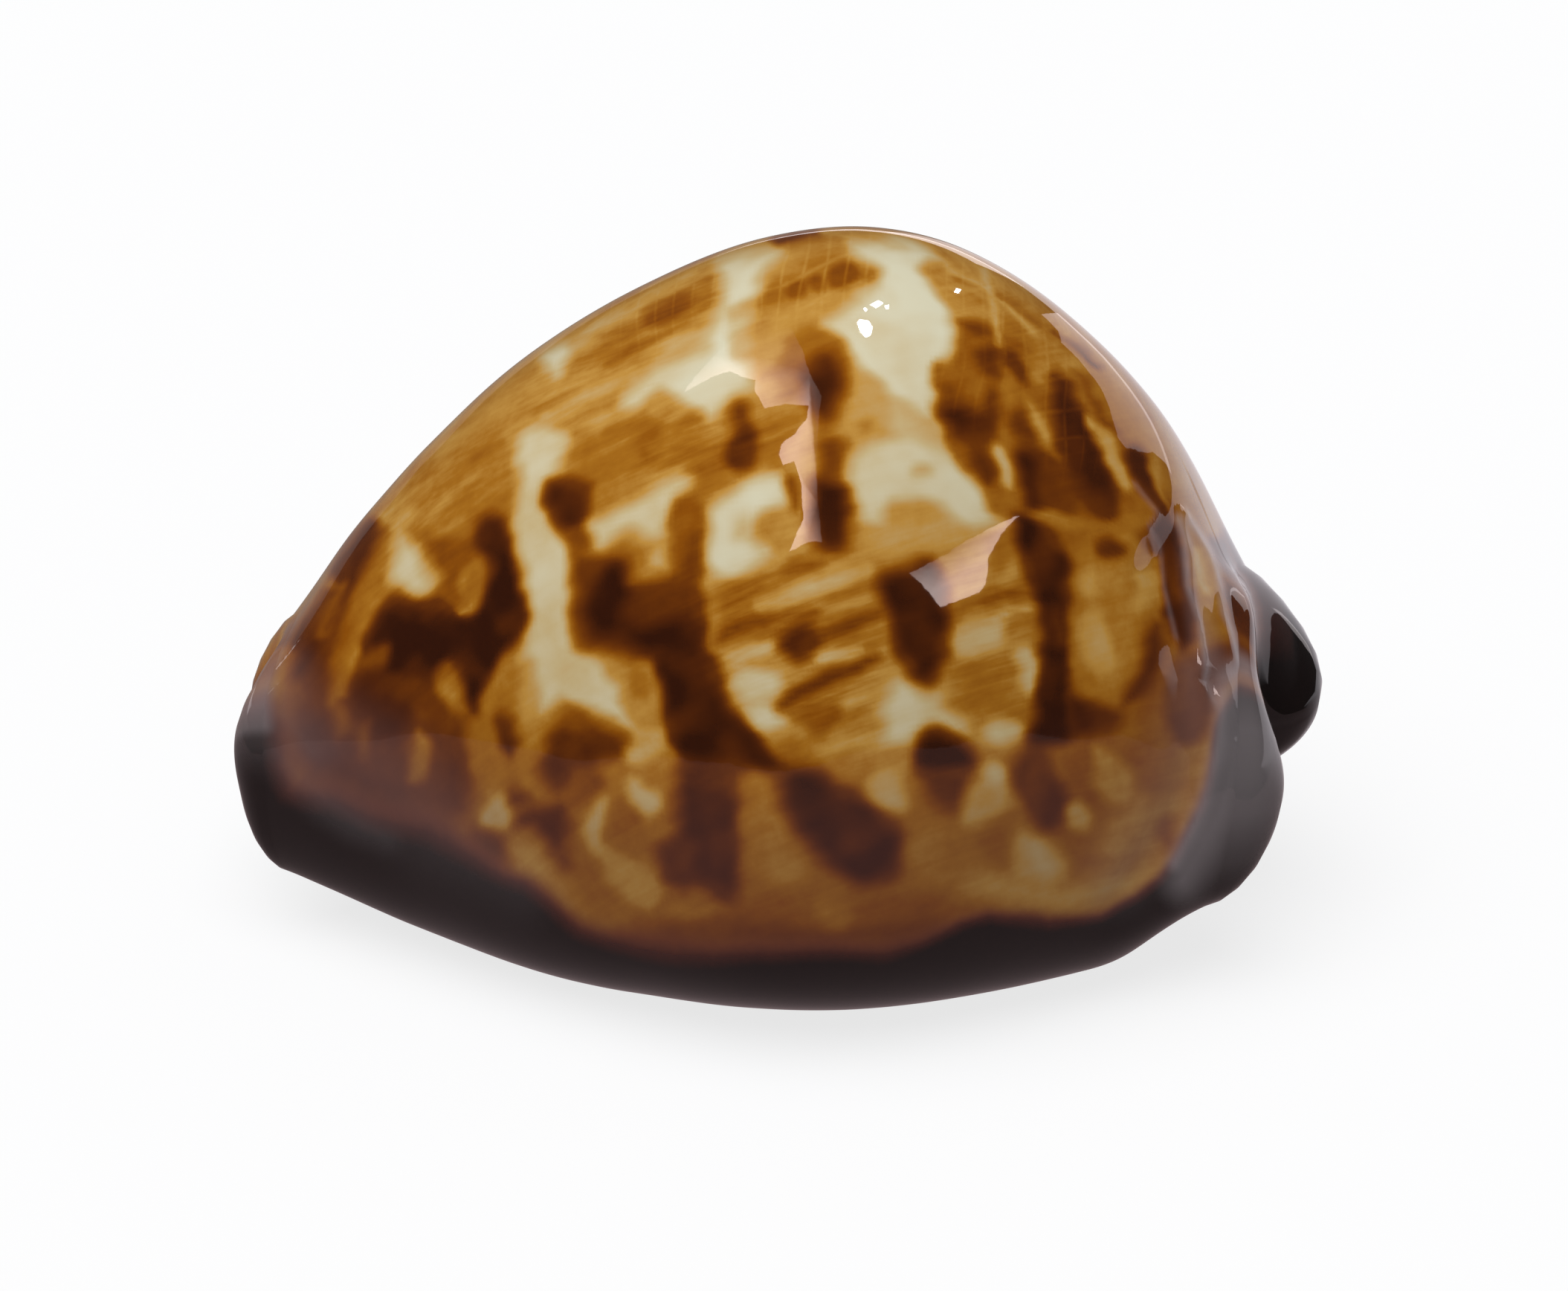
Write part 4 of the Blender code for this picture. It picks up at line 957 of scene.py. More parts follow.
def through(points, at):
    """The smooth curve (a natural cubic spline) through given points."""
    place, value = np.array(points).T
    gap = np.diff(place)
    slope = np.diff(value) / gap
    system = np.eye(len(place))
    bend = np.zeros(len(place))
    for i in range(1, len(place) - 1):
        system[i, i - 1 : i + 2] = gap[i - 1], 2 * (gap[i - 1] + gap[i]), gap[i]
        bend[i] = 6 * (slope[i] - slope[i - 1])
    bend = np.linalg.solve(system, bend)
    i = np.clip(np.searchsorted(place, at) - 1, 0, len(place) - 2)
    up = (at - place[i]) / gap[i]
    down = 1 - up
    curve = ((down**3 - down) * bend[i] + (up**3 - up) * bend[i + 1]) * gap[i] ** 2 / 6
    return down * value[i] + up * value[i + 1] + curve


def between(points, at):
    """Straight lines between given points."""
    place, value = np.array(points).T
    return np.interp(at, place, value)


def ramp(low, high, at):
    """0 below low, 1 above high, and smooth between them."""
    t = np.clip((at - low) / (high - low), 0, 1)
    return t * t * (3 - 2 * t)


def unit(vectors):
    return vectors / np.maximum(np.linalg.norm(vectors, axis=-1, keepdims=True), TINY)


def quarter(level, upright, power, lift=0.0):
    """A quarter of a superellipse, from the point where it runs level to the point where it is upright."""
    turn = np.linspace(0, math.pi / 2, QUARTER_STEPS)
    y = level[0] + (upright[0] - level[0]) * np.sin(turn) ** (2 / power)
    z = upright[1] + (level[1] - upright[1]) * np.cos(turn) ** (2 / power)
    return np.stack([y, z + lift * np.cos(turn) ** LIFT_POWER], axis=-1)


def four_quarters(outer_lip, outer, top, inner, inner_lip, lift):
    """An outline from the outer lip over the top to the inner lip, through the widest point of each side."""
    return np.concatenate([
        quarter(outer_lip, outer, BASE_POWER, lift)[:-1],
        quarter(top, outer, BACK_POWER)[:0:-1],
        quarter(top, inner, BACK_POWER)[:-1],
        quarter(inner_lip, inner, BASE_POWER, lift)[::-1],
    ])


def section(along):
    """The outside's cross-section at this place, from the outer lip over the back to the inner lip."""
    top = (0.0, HEIGHT * through(BACK_HEIGHT, along))
    base = HEIGHT * max(through(BASE_HEIGHT, along), 0)
    slot = WIDTH * through(SLOT_MIDDLE, along)
    half = through(SLOT_WIDTH, along) / 2 + through(LIP_REACH, along)
    outer = (WIDTH * through(OUTER_SIDE, along), HEIGHT * through(OUTER_MARGIN, along))
    inner = (-WIDTH * through(INNER_SIDE, along), HEIGHT * through(INNER_MARGIN, along))
    return four_quarters((slot + half, base), outer, top, inner, (slot - half, base), LIP_LIFT)


def hollow_section(along):
    """The hollow's cross-section at this place, in the same order."""
    floor = HEIGHT * max(through(BASE_HEIGHT, along), 0) + through(LIP_DEPTH, along)
    slot = WIDTH * through(SLOT_MIDDLE, along)
    half = through(SLOT_WIDTH, along) / 2 + through(LIP_REACH, along) / 2
    side, waist = through(HOLLOW_SIDE, along), through(HOLLOW_WAIST, along)
    middle = slot * ramp(*HOLLOW_TURN, abs(2 * along - 1))
    top = (middle, through(HOLLOW_HEIGHT, along))
    sides = [(middle + side, waist), (middle - side, waist)]
    return four_quarters((slot + half, floor), sides[0], top, sides[1], (slot - half, floor), 0.0)


def grid(outline, along, across):
    """A sheet's points: an outline at each station, with the columns spread over it."""
    points = np.zeros((len(along), len(across), 3))
    for i, place in enumerate(along):
        dense = outline(place)
        walked = np.concatenate([[0.0], np.cumsum(np.linalg.norm(np.diff(dense, axis=0), axis=1))])
        for axis in (0, 1):
            points[i, :, axis + 1] = np.interp(across * walked[-1], walked, dense[:, axis])
    front = -LENGTH / 2 + FRONT_ROOM + through(FRONT_SETBACK, across)
    spire = LENGTH / 2 - SPIRE_ROOM - through(SPIRE_SETBACK, across)
    s = along[:, None]
    points[:, :, 0] = front.min() + (spire.max() - front.min()) * s
    points[:, :, 0] += (front - front.min()) * (1 - ramp(0, END_SHARE, s))
    points[:, :, 0] += (spire - spire.max()) * ramp(1 - END_SHARE, 1, s)
    return points


def callus(points):
    """How far the outside stands above its plain form: the groove round the spire's callus, and its knob."""
    flat = points[..., (0, 2)]
    near = np.full(points.shape[:-1], np.inf)
    for start, end in zip(CALLUS_GROOVE, CALLUS_GROOVE[1:]):
        run = np.subtract(end, start)
        share = np.clip((flat - start) @ run / (run @ run), 0, 1)
        near = np.minimum(near, np.linalg.norm(flat - start - share[..., None] * run, axis=-1))
    groove = -GROOVE_DEPTH * np.exp(-((near / GROOVE_WIDTH) ** 2)) * (points[..., 1] < 0)
    away = np.linalg.norm(points - np.array(SPIRE_KNOB), axis=-1)
    return groove + KNOB_HEIGHT * np.exp(-((away / KNOB_RADIUS) ** 2))


def border(stations, columns, step):
    """Every step-th point of the grid's border, once round."""
    last_s, last_c = stations - 1, columns - 1
    ring = [(0, j) for j in range(0, last_c, step)]
    ring += [(i, last_c) for i in range(0, last_s, step)]
    ring += [(last_s, j) for j in range(last_c, 0, -step)]
    ring += [(i, 0) for i in range(last_s, 0, -step)]
    return ring


def facing_out(points):
    """The direction in which each point of a grid faces."""
    return unit(np.cross(np.gradient(points, axis=1), np.gradient(points, axis=0)))


def crowded(count, density):
    """Places from 0 to 1 that lie closer together where the density is higher."""
    dense = np.linspace(0, 1, SPREAD_STEPS)
    walked = np.cumsum(between(density, dense))
    walked = (walked - walked[0]) / (walked[-1] - walked[0])
    return np.interp(np.linspace(0, 1, count), walked, dense)


class Sheet:
    """The shell as a sheet: an outside, a coarser inside, and a round rim that joins their borders."""

    def __init__(self):
        even = np.linspace(0, 1, STATIONS)
        self.along = even + STATION_CROWDING * ((1 - np.cos(math.pi * even)) / 2 - even)
        self.across = crowded(COLUMNS, COLUMN_DENSITY)
        outer = grid(section, self.along, self.across)
        facing = facing_out(outer)
        outer += facing * callus(outer)[..., None]
        inner = grid(hollow_section, self.along, self.across)
        self.ring = border(STATIONS, COLUMNS, 1)
        rows, columns = np.array(self.ring).T
        start, end = outer[rows, columns], inner[rows, columns]
        forward = np.roll(start, -1, axis=0) - np.roll(start, 1, axis=0)
        away = unit(np.cross(forward, facing[rows, columns]))
        away[:, 0] += END_PULL * ((rows == STATIONS - 1).astype(float) - (rows == 0))
        swell = unit(away) * self.rim_reach(rows, columns)[:, None]
        turns = np.linspace(0, math.pi, RIM_ROWS + 1)[1:-1, None, None]
        rim = (start + end) / 2 + (start - end) / 2 * np.cos(turns) + swell * np.sin(turns)
        self.fit_to_solid(outer, inner[::COARSE, ::COARSE], rim)

    def rim_reach(self, rows, columns):
        """How far the rim swells out past each point of the border."""
        front = through(FRONT_REACH, self.across)[columns]
        spire = through(SPIRE_REACH, self.across)[columns]
        lip = through(LIP_REACH, self.along)[rows]
        return np.where(rows == 0, front, np.where(rows == STATIONS - 1, spire, lip))

    def fit_to_solid(self, outer, inner, rim):
        """Stretches the points a little to the solid's size and sets them on the resting surface."""
        every = np.concatenate([points.reshape(-1, 3) for points in (outer, inner, rim)])
        low, high = every.min(axis=0), every.max(axis=0)
        low[2] += REST_DEPTH
        middle = np.array([(low[0] + high[0]) / 2, (low[1] + high[1]) / 2, low[2]])
        stretch = np.array([LENGTH, WIDTH, HEIGHT]) / (high - low)
        self.outer, self.inner, self.rim = ((points - middle) * stretch for points in (outer, inner, rim))

    def points(self):
        return np.concatenate([points.reshape(-1, 3) for points in (self.outer, self.inner, self.rim)])

    def faces(self):
        """The outside, the inside, the rim, and a fan from the rim to each step of the inside."""
        first = STATIONS * COLUMNS
        height, width = self.inner.shape[:2]
        found = []
        for i in range(STATIONS - 1):
            for j in range(COLUMNS - 1):
                a, b = i * COLUMNS + j, (i + 1) * COLUMNS + j
                found.append((a, a + 1, b + 1, b))
        for i in range(height - 1):
            for j in range(width - 1):
                a, b = first + i * width + j, first + (i + 1) * width + j
                found.append((a, b, b + 1, a + 1))
        row = [i * COLUMNS + j for i, j in self.ring]
        size, count = len(row), first + height * width
        for _ in range(RIM_ROWS - 1):
            after = list(range(count, count + size))
            found += [(row[k], after[k], after[(k + 1) % size], row[(k + 1) % size]) for k in range(size)]
            row, count = after, count + size
        inside = [first + i // COARSE * width + j // COARSE for i, j in border(STATIONS, COLUMNS, COARSE)]
        for k, here in enumerate(inside):
            fan = [row[(COARSE * k + step) % size] for step in range(COARSE + 1)]
            after, half = inside[(k + 1) % len(inside)], COARSE // 2
            found += [(fan[step], here, fan[step + 1]) for step in range(half)]
            found.append((fan[half], here, after))
            found += [(fan[step], after, fan[step + 1]) for step in range(half, COARSE)]
        return found


def camera_axes():
    """Directions in the photograph: towards the viewer, to the right and up."""
    level = np.array([math.sin(AZIMUTH), -math.cos(AZIMUTH), 0.0])
    back = level * math.cos(ELEVATION) + np.array([0.0, 0.0, math.sin(ELEVATION)])
    right = np.array([math.cos(AZIMUTH), math.sin(AZIMUTH), 0.0])
    return back, right, np.cross(back, right)


def eye_point():
    return TARGET + camera_axes()[0] * DISTANCE


def pixels(points):
    """Where points lie in the photograph, as (across, down) in its pixels."""
    back, right, up = camera_axes()
    away = points - eye_point()
    scale = PIXELS_PER_METRE * DISTANCE / -(away @ back)
    return TARGET_PIXEL + np.stack([away @ right * scale, -(away @ up) * scale], axis=-1)


def beyond_chain(at, blobs):
    """How far positions lie outside a chain of blobs, negative inside it."""
    near = np.full(len(at), np.inf)
    for start, end in zip(blobs, blobs[1:] if len(blobs) > 1 else blobs):
        run = end[:2] - start[:2]
        share = np.clip((at - start[:2]) @ run / max(run @ run, TINY), 0, 1)
        gap = np.linalg.norm(at - start[:2] - share[:, None] * run, axis=1)
        near = np.minimum(near, gap - start[2] - share * (end[2] - start[2]))
    return near


def beyond_outline(at, corners):
    """How far positions lie outside a closed outline, negative inside it."""
    near = np.full(len(at), np.inf)
    inside = np.zeros(len(at), bool)
    for start, end in zip(corners, np.roll(corners, -1, axis=0)):
        run = end - start
        share = np.clip((at - start) @ run / (run @ run), 0, 1)
        near = np.minimum(near, np.linalg.norm(at - start - share[:, None] * run, axis=1))
        crosses = (start[1] > at[:, 1]) != (end[1] > at[:, 1])
        if run[1] != 0:
            inside ^= crosses & (at[:, 0] < start[0] + (at[:, 1] - start[1]) * run[0] / run[1])
    return np.where(inside, -near, near)


def rounded(corners):
    """A closed outline with its corners cut off again and again, until it runs smoothly."""
    for _ in range(CORNER_CUTS):
        after = np.roll(corners, -1, axis=0)
        corners = np.stack([corners * 0.75 + after * 0.25, corners * 0.25 + after * 0.75], axis=1)
        corners = corners.reshape(-1, 2)
    return corners


def coverage(at, softness, points):
    """How far a mark covers each pixel position: 1 inside, 0 outside, half at its edge."""
    points = np.array(points, float)
    is_chain = points.shape[1] == 3
    points = points if is_chain else rounded(points)
    reach = softness + (points[:, 2].max() if is_chain else 0)
    low, high = points[:, :2].min(axis=0) - reach, points[:, :2].max(axis=0) + reach
    close = np.flatnonzero(((at > low) & (at < high)).all(axis=1))
    gap = beyond_chain(at[close], points) if is_chain else beyond_outline(at[close], points)
    cover = np.zeros(len(at))
    cover[close] = 1 - ramp(-softness, softness, gap)
    return cover


def paint(marks, at, value):
    """Lays marks over the values, one after another."""
    for depth, softness, points in marks:
        softness = softness * between(MARK_SOFTNESS, depth)
        value = value + (depth - value) * coverage(at, softness, points)
    return value


def rows_of_noise(points, scale, seed):
    """Smooth noise at each point, from about -1 to 1."""
    shifted = points / scale + seed
    return np.array([noise.noise(Vector(point)) for point in shifted])


def grain_of(points):
    """Places in metres along and across the growth streaks, which rise towards the spire end."""
    x = points[..., 0]
    dense = np.linspace(-LENGTH / 2, LENGTH / 2, STREAK_STEPS)
    steps = np.tan(np.radians(between(STREAK_RISE, dense[:-1]))) * np.diff(dense)
    rise = np.concatenate([[0.0], np.cumsum(steps)])
    up = points[..., 2] * math.cos(ELEVATION) - abs(points[..., 1]) * math.sin(ELEVATION)
    slant = np.radians(between(STREAK_RISE, x))
    return np.stack([x / np.cos(slant), (up - np.interp(x, dense, rise)) * np.cos(slant)], axis=-1)


def tooth_row(along, count, scale):
    """The height of a row of teeth at each place along a lip."""
    pitch = (LAST_TOOTH - FIRST_TOOTH) / (count - 1)
    phase = (along - FIRST_TOOTH) / pitch
    past = np.maximum(-phase, phase - (count - 1))
    bump = (0.5 + 0.5 * np.cos(2 * math.pi * phase)) ** TOOTH_SHARPNESS
    return TOOTH_RISE * scale * bump * (1 - ramp(*ROW_FADE, past))


def add_teeth(sheet):
    """Raises the teeth across both lips: out over the base a little, and round the rim into the slot."""
    scale = through(INNER_TOOTH_SCALE, sheet.along)
    rows = (tooth_row(sheet.along, OUTER_TEETH, 1.0), tooth_row(sheet.along, INNER_TEETH, scale))
    facing = facing_out(sheet.outer)
    lips = ((0, 1, TOOTH_SPREAD), (COLUMNS - 1, -1, INNER_TOOTH_SPREAD))
    for (lip, step, spread), row in zip(lips, rows):
        gone = np.zeros(STATIONS)
        for j in range(lip, lip + step * TOOTH_COLUMNS, step):
            if j != lip:
                gone = gone + np.linalg.norm(sheet.outer[:, j] - sheet.outer[:, j - step], axis=-1)
            fade = 1 - ramp(TOOTH_CREST * spread, spread, gone)
            sheet.outer[:, j] += facing[:, j] * (row * fade)[:, None]
    rim_rows, rim_columns = np.array(sheet.ring).T
    middle = sheet.rim.mean(axis=0)
    for k in range(RIM_ROWS - 1):
        turn = math.pi * (k + 1) / RIM_ROWS
        fade = 1 - ramp(*TOOTH_TURN, turn)
        out = unit(sheet.rim[k] - middle)
        height = np.where(rim_columns == 0, rows[0][rim_rows], 0.0)
        height = np.where(rim_columns == COLUMNS - 1, rows[1][rim_rows], height)
        sheet.rim[k] += out * (height * fade)[:, None]


def add_relief(sheet, seen, at):
    """Raises the folds of the callus and gives the enamel its slight waves."""
    facing = facing_out(sheet.outer).reshape(-1, 3)
    flat = sheet.outer.reshape(-1, 3)
    height = np.zeros(len(flat))
    for rise, softness, blobs in FOLDS:
        height += rise * coverage(at, softness, blobs) * (seen > FOLD_VIEW)
    rows, columns = np.divmod(np.arange(len(flat)), COLUMNS)
    edge = np.minimum.reduce([rows, STATIONS - 1 - rows, columns, COLUMNS - 1 - columns])
    height += WAVE_HEIGHT * rows_of_noise(flat, WAVE_LENGTH, WAVE_SEED) * ramp(0, WAVE_FADE, edge)
    sheet.outer += (facing * height[:, None]).reshape(sheet.outer.shape)


def far_marks(chance):
    """Marks for the back's far side, laid out like those of the side that the photograph shows."""
    marks = []
    for depth, softness, count, size, run in FAR_MARK_KINDS:
        for _ in range(count):
            place = np.array([chance.uniform(*side) for side in FAR_FIELD])
            blobs = [(*place, size * chance.uniform(*FAR_SIZES))]
            for _ in range(chance.integers(*FAR_LINKS)):
                place = place + np.array([chance.uniform(*step) for step in FAR_STEPS]) * run
                blobs.append((*place, size * chance.uniform(*FAR_SIZES)))
            marks.append((np.clip(depth + chance.uniform(*FAR_DEPTHS), 0, 1), softness, blobs))
    return marks


def pigment_of(points, at, shown):
    """The depth of pigment at each point of the outside."""
    grain = np.column_stack([grain_of(points), np.zeros(len(points))])
    smear = rows_of_noise(grain * (SMEAR_STRETCH, 1.0, 1.0), SMEAR_SIZE, SMEAR_SEED)
    ragged = np.column_stack([rows_of_noise(points, RAGGED_SIZE, seed) for seed in RAGGED_SEEDS])
    slant = np.radians(between(STREAK_RISE, points[:, 0]))
    along = np.column_stack([np.cos(slant), -np.sin(slant)])
    shift = along * smear[:, None] * SMEAR + ragged * RAGGEDNESS
    plain = np.full(len(points), PLAIN_TONE)
    near = plain
    for marks in ALL_MARKS:
        near = paint(marks, at + shift, near)
    mirrored = np.column_stack([points[:, 0], -abs(points[:, 1]), points[:, 2]])
    chance = np.random.default_rng(FAR_MARK_SEED)
    far = paint(far_marks(chance), pixels(mirrored) + shift * FAR_SHIFT, plain)
    value = far + (near - far) * shown
    mottle = sum(depth * rows_of_noise(points, size, seed) for depth, size, seed in MOTTLE)
    spots = ramp(*THIN_SPOT_NOISE, rows_of_noise(points, THIN_SPOT_SIZE, THIN_SPOT_SEED))
    thinner = THINNER_SPOTS * ramp(*THIN_SPOT_PIGMENT, value) * spots
    return np.clip(value + mottle * between(MOTTLE_BY_PIGMENT, value) - thinner, 0, 1)


def margin_of(sheet, at, shown):
    """How far each point of the outside lies in the dark margin, base or ends."""
    along, across = np.meshgrid(sheet.along, sheet.across, indexing="ij")
    share = np.where(across < 0.5, 1 - across, across).ravel()
    wave = rows_of_noise(sheet.outer.reshape(-1, 3), MARGIN_WAVE_SIZE, MARGIN_SEED)
    edge = between(MARGIN_EDGE, along.ravel())
    far = ramp(edge - MARGIN_FADE, edge + MARGIN_PAST, share + wave * MARGIN_WAVES)
    gap = beyond_outline(at, np.array(MARGIN_OUTLINE, float)) + wave * MARGIN_WAVES_NEAR
    outwards = between(MARGIN_SOFTNESS, at[:, 0])
    near = 1 - ramp(0, 1, (gap + MARGIN_INWARDS) / (outwards + MARGIN_INWARDS))
    return far + (near - far) * shown


def set_values(mesh, name, values):
    attribute = mesh.attributes.new(name, "FLOAT", "POINT")
    attribute.data.foreach_set("value", np.ascontiguousarray(values, dtype=np.float32))


def with_rim(sheet, values, turns, inside):
    """The outside's values, one value inside, and on the rim the border's values that turn to that one."""
    rows, columns = np.array(sheet.ring).T
    border_values = np.tile(values[rows * COLUMNS + columns], RIM_ROWS - 1)
    share = ramp(*RIM_BLEND, turns)
    inner = np.full(sheet.inner.shape[0] * sheet.inner.shape[1], inside)
    return np.concatenate([values, inner, border_values * (1 - share) + inside * share])


def shell_mesh(sheet):
    """The fine mesh of the shell, with the values that its material reads."""
    outer = sheet.outer.reshape(-1, 3)
    seen = (facing_out(sheet.outer).reshape(-1, 3) * unit(eye_point() - outer)).sum(axis=1)
    at = pixels(outer)
    add_relief(sheet, seen, at)
    shown = ramp(*NEAR_SIDE, seen)
    pigment = pigment_of(outer, at, shown)
    margin = margin_of(sheet, at, shown)
    none = np.zeros(len(at))
    streaky = paint(STREAKY_AREAS, at, none + FAINT_STREAKS)
    lattice = paint(LATTICE_AREAS, at, none)
    # The glaze darkens the lower side: partly the callus's thin overlay, partly painted shade
    glaze_and_shade = paint(GLAZED_AND_SHADED_AREAS, at, none) * shown + FAR_GLAZE_AND_SHADE * (1 - shown)
    glaze_and_shade = glaze_and_shade * (1 - ramp(*GLAZE_AND_SHADE_END, margin))
    # Painted reflection: a grey veil and highlights on the callus
    painted_reflection = paint(PAINTED_REFLECTION_AREAS, at, none) * shown
    add_teeth(sheet)
    points = sheet.points()
    points[:, 2] = np.maximum(points[:, 2], 0)
    mesh = bpy.data.meshes.new("shell")
    mesh.from_pydata(points.tolist(), [], sheet.faces())
    mesh.shade_smooth()
    inner = 1 - ramp(*DARK_ENDS, abs(sheet.inner.reshape(-1, 3)[:, 0]))
    turns = np.repeat(np.arange(1, RIM_ROWS) / RIM_ROWS, len(sheet.ring))
    set_values(mesh, "pigment", with_rim(sheet, pigment, turns, 1.0))
    set_values(mesh, "margin", with_rim(sheet, margin, turns, 1.0))
    for name, values in (("streaky", streaky), ("lattice", lattice), ("glaze_and_shade", glaze_and_shade), ("painted_reflection", painted_reflection)):
        set_values(mesh, name, with_rim(sheet, values, turns, 0.0))
    rim = ramp(*PALE_RIM, turns) * (1 - ramp(*DARK_ENDS, abs(sheet.rim.reshape(-1, 3)[:, 0])))
    set_values(mesh, "inside", np.concatenate([np.zeros(len(outer)), inner, rim]))
    grain = grain_of(points)
    set_values(mesh, "grain_along", grain[:, 0] * MILLIMETRES)
    set_values(mesh, "grain_across", grain[:, 1] * MILLIMETRES)
    return mesh


def linear(*colour):
    """A colour of 0 to 255 as light."""
    return tuple(c / 255 / 12.92 if c < 11 else ((c / 255 + 0.055) / 1.055) ** 2.4 for c in colour)


class Tree:
    """Short ways to add nodes to a shader tree."""

    def __init__(self, tree):
        self.tree = tree

    def add(self, kind, inputs=None, **settings):
        node = self.tree.nodes.new(kind)
        for name, value in settings.items():
            setattr(node, name, value)
        for name, value in (inputs or {}).items():
            self.give(node.inputs[name], value)
        return node

    def give(self, socket, value):
        if isinstance(value, bpy.types.NodeSocket):
            self.tree.links.new(value, socket)
        else:
            socket.default_value = value

    def math(self, operation, *values):
        node = self.tree.nodes.new("ShaderNodeMath")
        node.operation = operation
        for socket, value in zip(node.inputs, values):
            self.give(socket, value)
        return node.outputs[0]

    def spread(self, value, low, high, to_low=0.0, to_high=1.0):
        node = self.add("ShaderNodeMapRange", {
            "Value": value, "From Min": low, "From Max": high, "To Min": to_low, "To Max": to_high,
        }, interpolation_type="SMOOTHSTEP")
        return node.outputs["Result"]

    def colours(self, value, stops):
        node = self.add("ShaderNodeValToRGB", {"Fac": value})
        elements = node.color_ramp.elements
        while len(elements) < len(stops):
            elements.new(1.0)
        for element, (place, colour) in zip(elements, stops):
            element.position = place
            element.color = (*linear(*colour), 1.0)
        return node.outputs["Color"]

    def mix(self, share, first, second):
        """A colour between two others, by the node's colour sockets."""
        node = self.tree.nodes.new("ShaderNodeMix")
        node.data_type = "RGBA"
        self.give(node.inputs["Factor"], share)
        for socket, value in ((node.inputs[6], first), (node.inputs[7], second)):
            self.give(socket, (*value, 1.0) if isinstance(value, tuple) else value)
        return node.outputs[2]

    def cover(self, share, below, above):
        """One shader over another."""
        node = self.add("ShaderNodeMixShader", {"Fac": share})
        self.give(node.inputs[1], below.outputs[0])
        self.give(node.inputs[2], above.outputs[0])
        return node

    def cloud(self, place, scale, detail, roughness):
        """Soft noise, from 0 to 1."""
        node = self.add("ShaderNodeTexNoise", {
            "Vector": place, "Scale": scale, "Detail": detail, "Roughness": roughness,
        })
        return node.outputs["Fac"]

    def value_of(self, name):
        return self.add("ShaderNodeAttribute", attribute_name=name).outputs["Fac"]


def cleared(block):
    """The shader tree of a material or of the world, emptied."""
    block.use_nodes = True
    block.node_tree.nodes.clear()
    return Tree(block.node_tree)


def placed(name, data):
    """A new object in the scene."""
    thing = bpy.data.objects.new(name, data)
    bpy.context.scene.collection.objects.link(thing)
    return thing


def new_group(name, inputs):
    """A shader node group with the named number inputs and one value as its output."""
    group = bpy.data.node_groups.new(name, "ShaderNodeTree")
    for title in inputs:
        group.interface.new_socket(title, in_out="INPUT", socket_type="NodeSocketFloat")
    group.interface.new_socket("Value", in_out="OUTPUT", socket_type="NodeSocketFloat")
    tree = Tree(group)
    start, end = tree.add("NodeGroupInput"), tree.add("NodeGroupOutput")
    return group, tree, start.outputs, end.inputs["Value"]


def growth_streaks():
    """Fine streaks along the shell's growth: -1 to 1, from places along and across them in millimetres."""
    group, tree, given, result = new_group("growth streaks", ("Along", "Across", "Length", "Width"))
    place = tree.add("ShaderNodeCombineXYZ", {
        "X": tree.math("DIVIDE", given["Along"], given["Length"]),
        "Y": tree.math("DIVIDE", given["Across"], given["Width"]),
    })
    cloud = tree.cloud(place.outputs[0], 1.0, *STREAK_CLOUD)
    tree.give(result, tree.math("MULTIPLY_ADD", cloud, 2.0, -1.0))
    return group


def crossing_lines():
    """Thin lines across and along the growth, 0 to 1, from places in millimetres."""
    group, tree, given, result = new_group("crossing lines", ("Along", "Across"))
    place = tree.add("ShaderNodeCombineXYZ", {"X": given["Along"], "Y": given["Across"]}).outputs[0]
    sway = tree.cloud(place, *SWAY_CLOUD)
    found = []
    for name, spacing in zip(("Along", "Across"), LATTICE_SPACING):
        turn = tree.math("MULTIPLY_ADD", sway, LATTICE_SWAY, tree.math("DIVIDE", given[name], spacing))
        found.append(tree.spread(tree.math("PINGPONG", turn, 0.5), *LATTICE_LINE))
    tree.give(result, tree.math("MAXIMUM", *found))
    return group


def streaked_pigment(tree, pigment, streaky, lattice, speckle):
    """The depth of pigment with its streaks, which fade towards cream and darkest brown, and pale lines."""
    along, across = tree.value_of("grain_along"), tree.value_of("grain_across")
    group = growth_streaks()
    both = []
    for length, width, strength in (BROAD_STREAKS, FINE_STREAKS):
        given = {"Along": along, "Across": across, "Length": length, "Width": width}
        streak = tree.add("ShaderNodeGroup", node_tree=group)
        for name, value in given.items():
            tree.give(streak.inputs[name], value)
        both.append(tree.math("MULTIPLY", streak.outputs["Value"], strength))
    streaks = tree.math("MULTIPLY", tree.math("ADD", *both), streaky)
    ragged = tree.math("ADD", streaks, tree.math("MULTIPLY", speckle, SPECKLE_DEPTH))
    off_middle = tree.math("ABSOLUTE", tree.math("MULTIPLY_ADD", pigment, 2.0, -1.0))
    share = tree.math("POWER", tree.math("SUBTRACT", 1.0, off_middle), STREAK_FALL)
    depth = tree.math("MULTIPLY_ADD", ragged, share, pigment)
    lines = tree.add("ShaderNodeGroup", node_tree=crossing_lines())
    tree.give(lines.inputs["Along"], along)
    tree.give(lines.inputs["Across"], across)
    paler = tree.math("MULTIPLY", tree.math("MULTIPLY", lines.outputs["Value"], lattice), LATTICE_DEPTH)
    return tree.math("SUBTRACT", depth, tree.math("MULTIPLY", paler, depth))


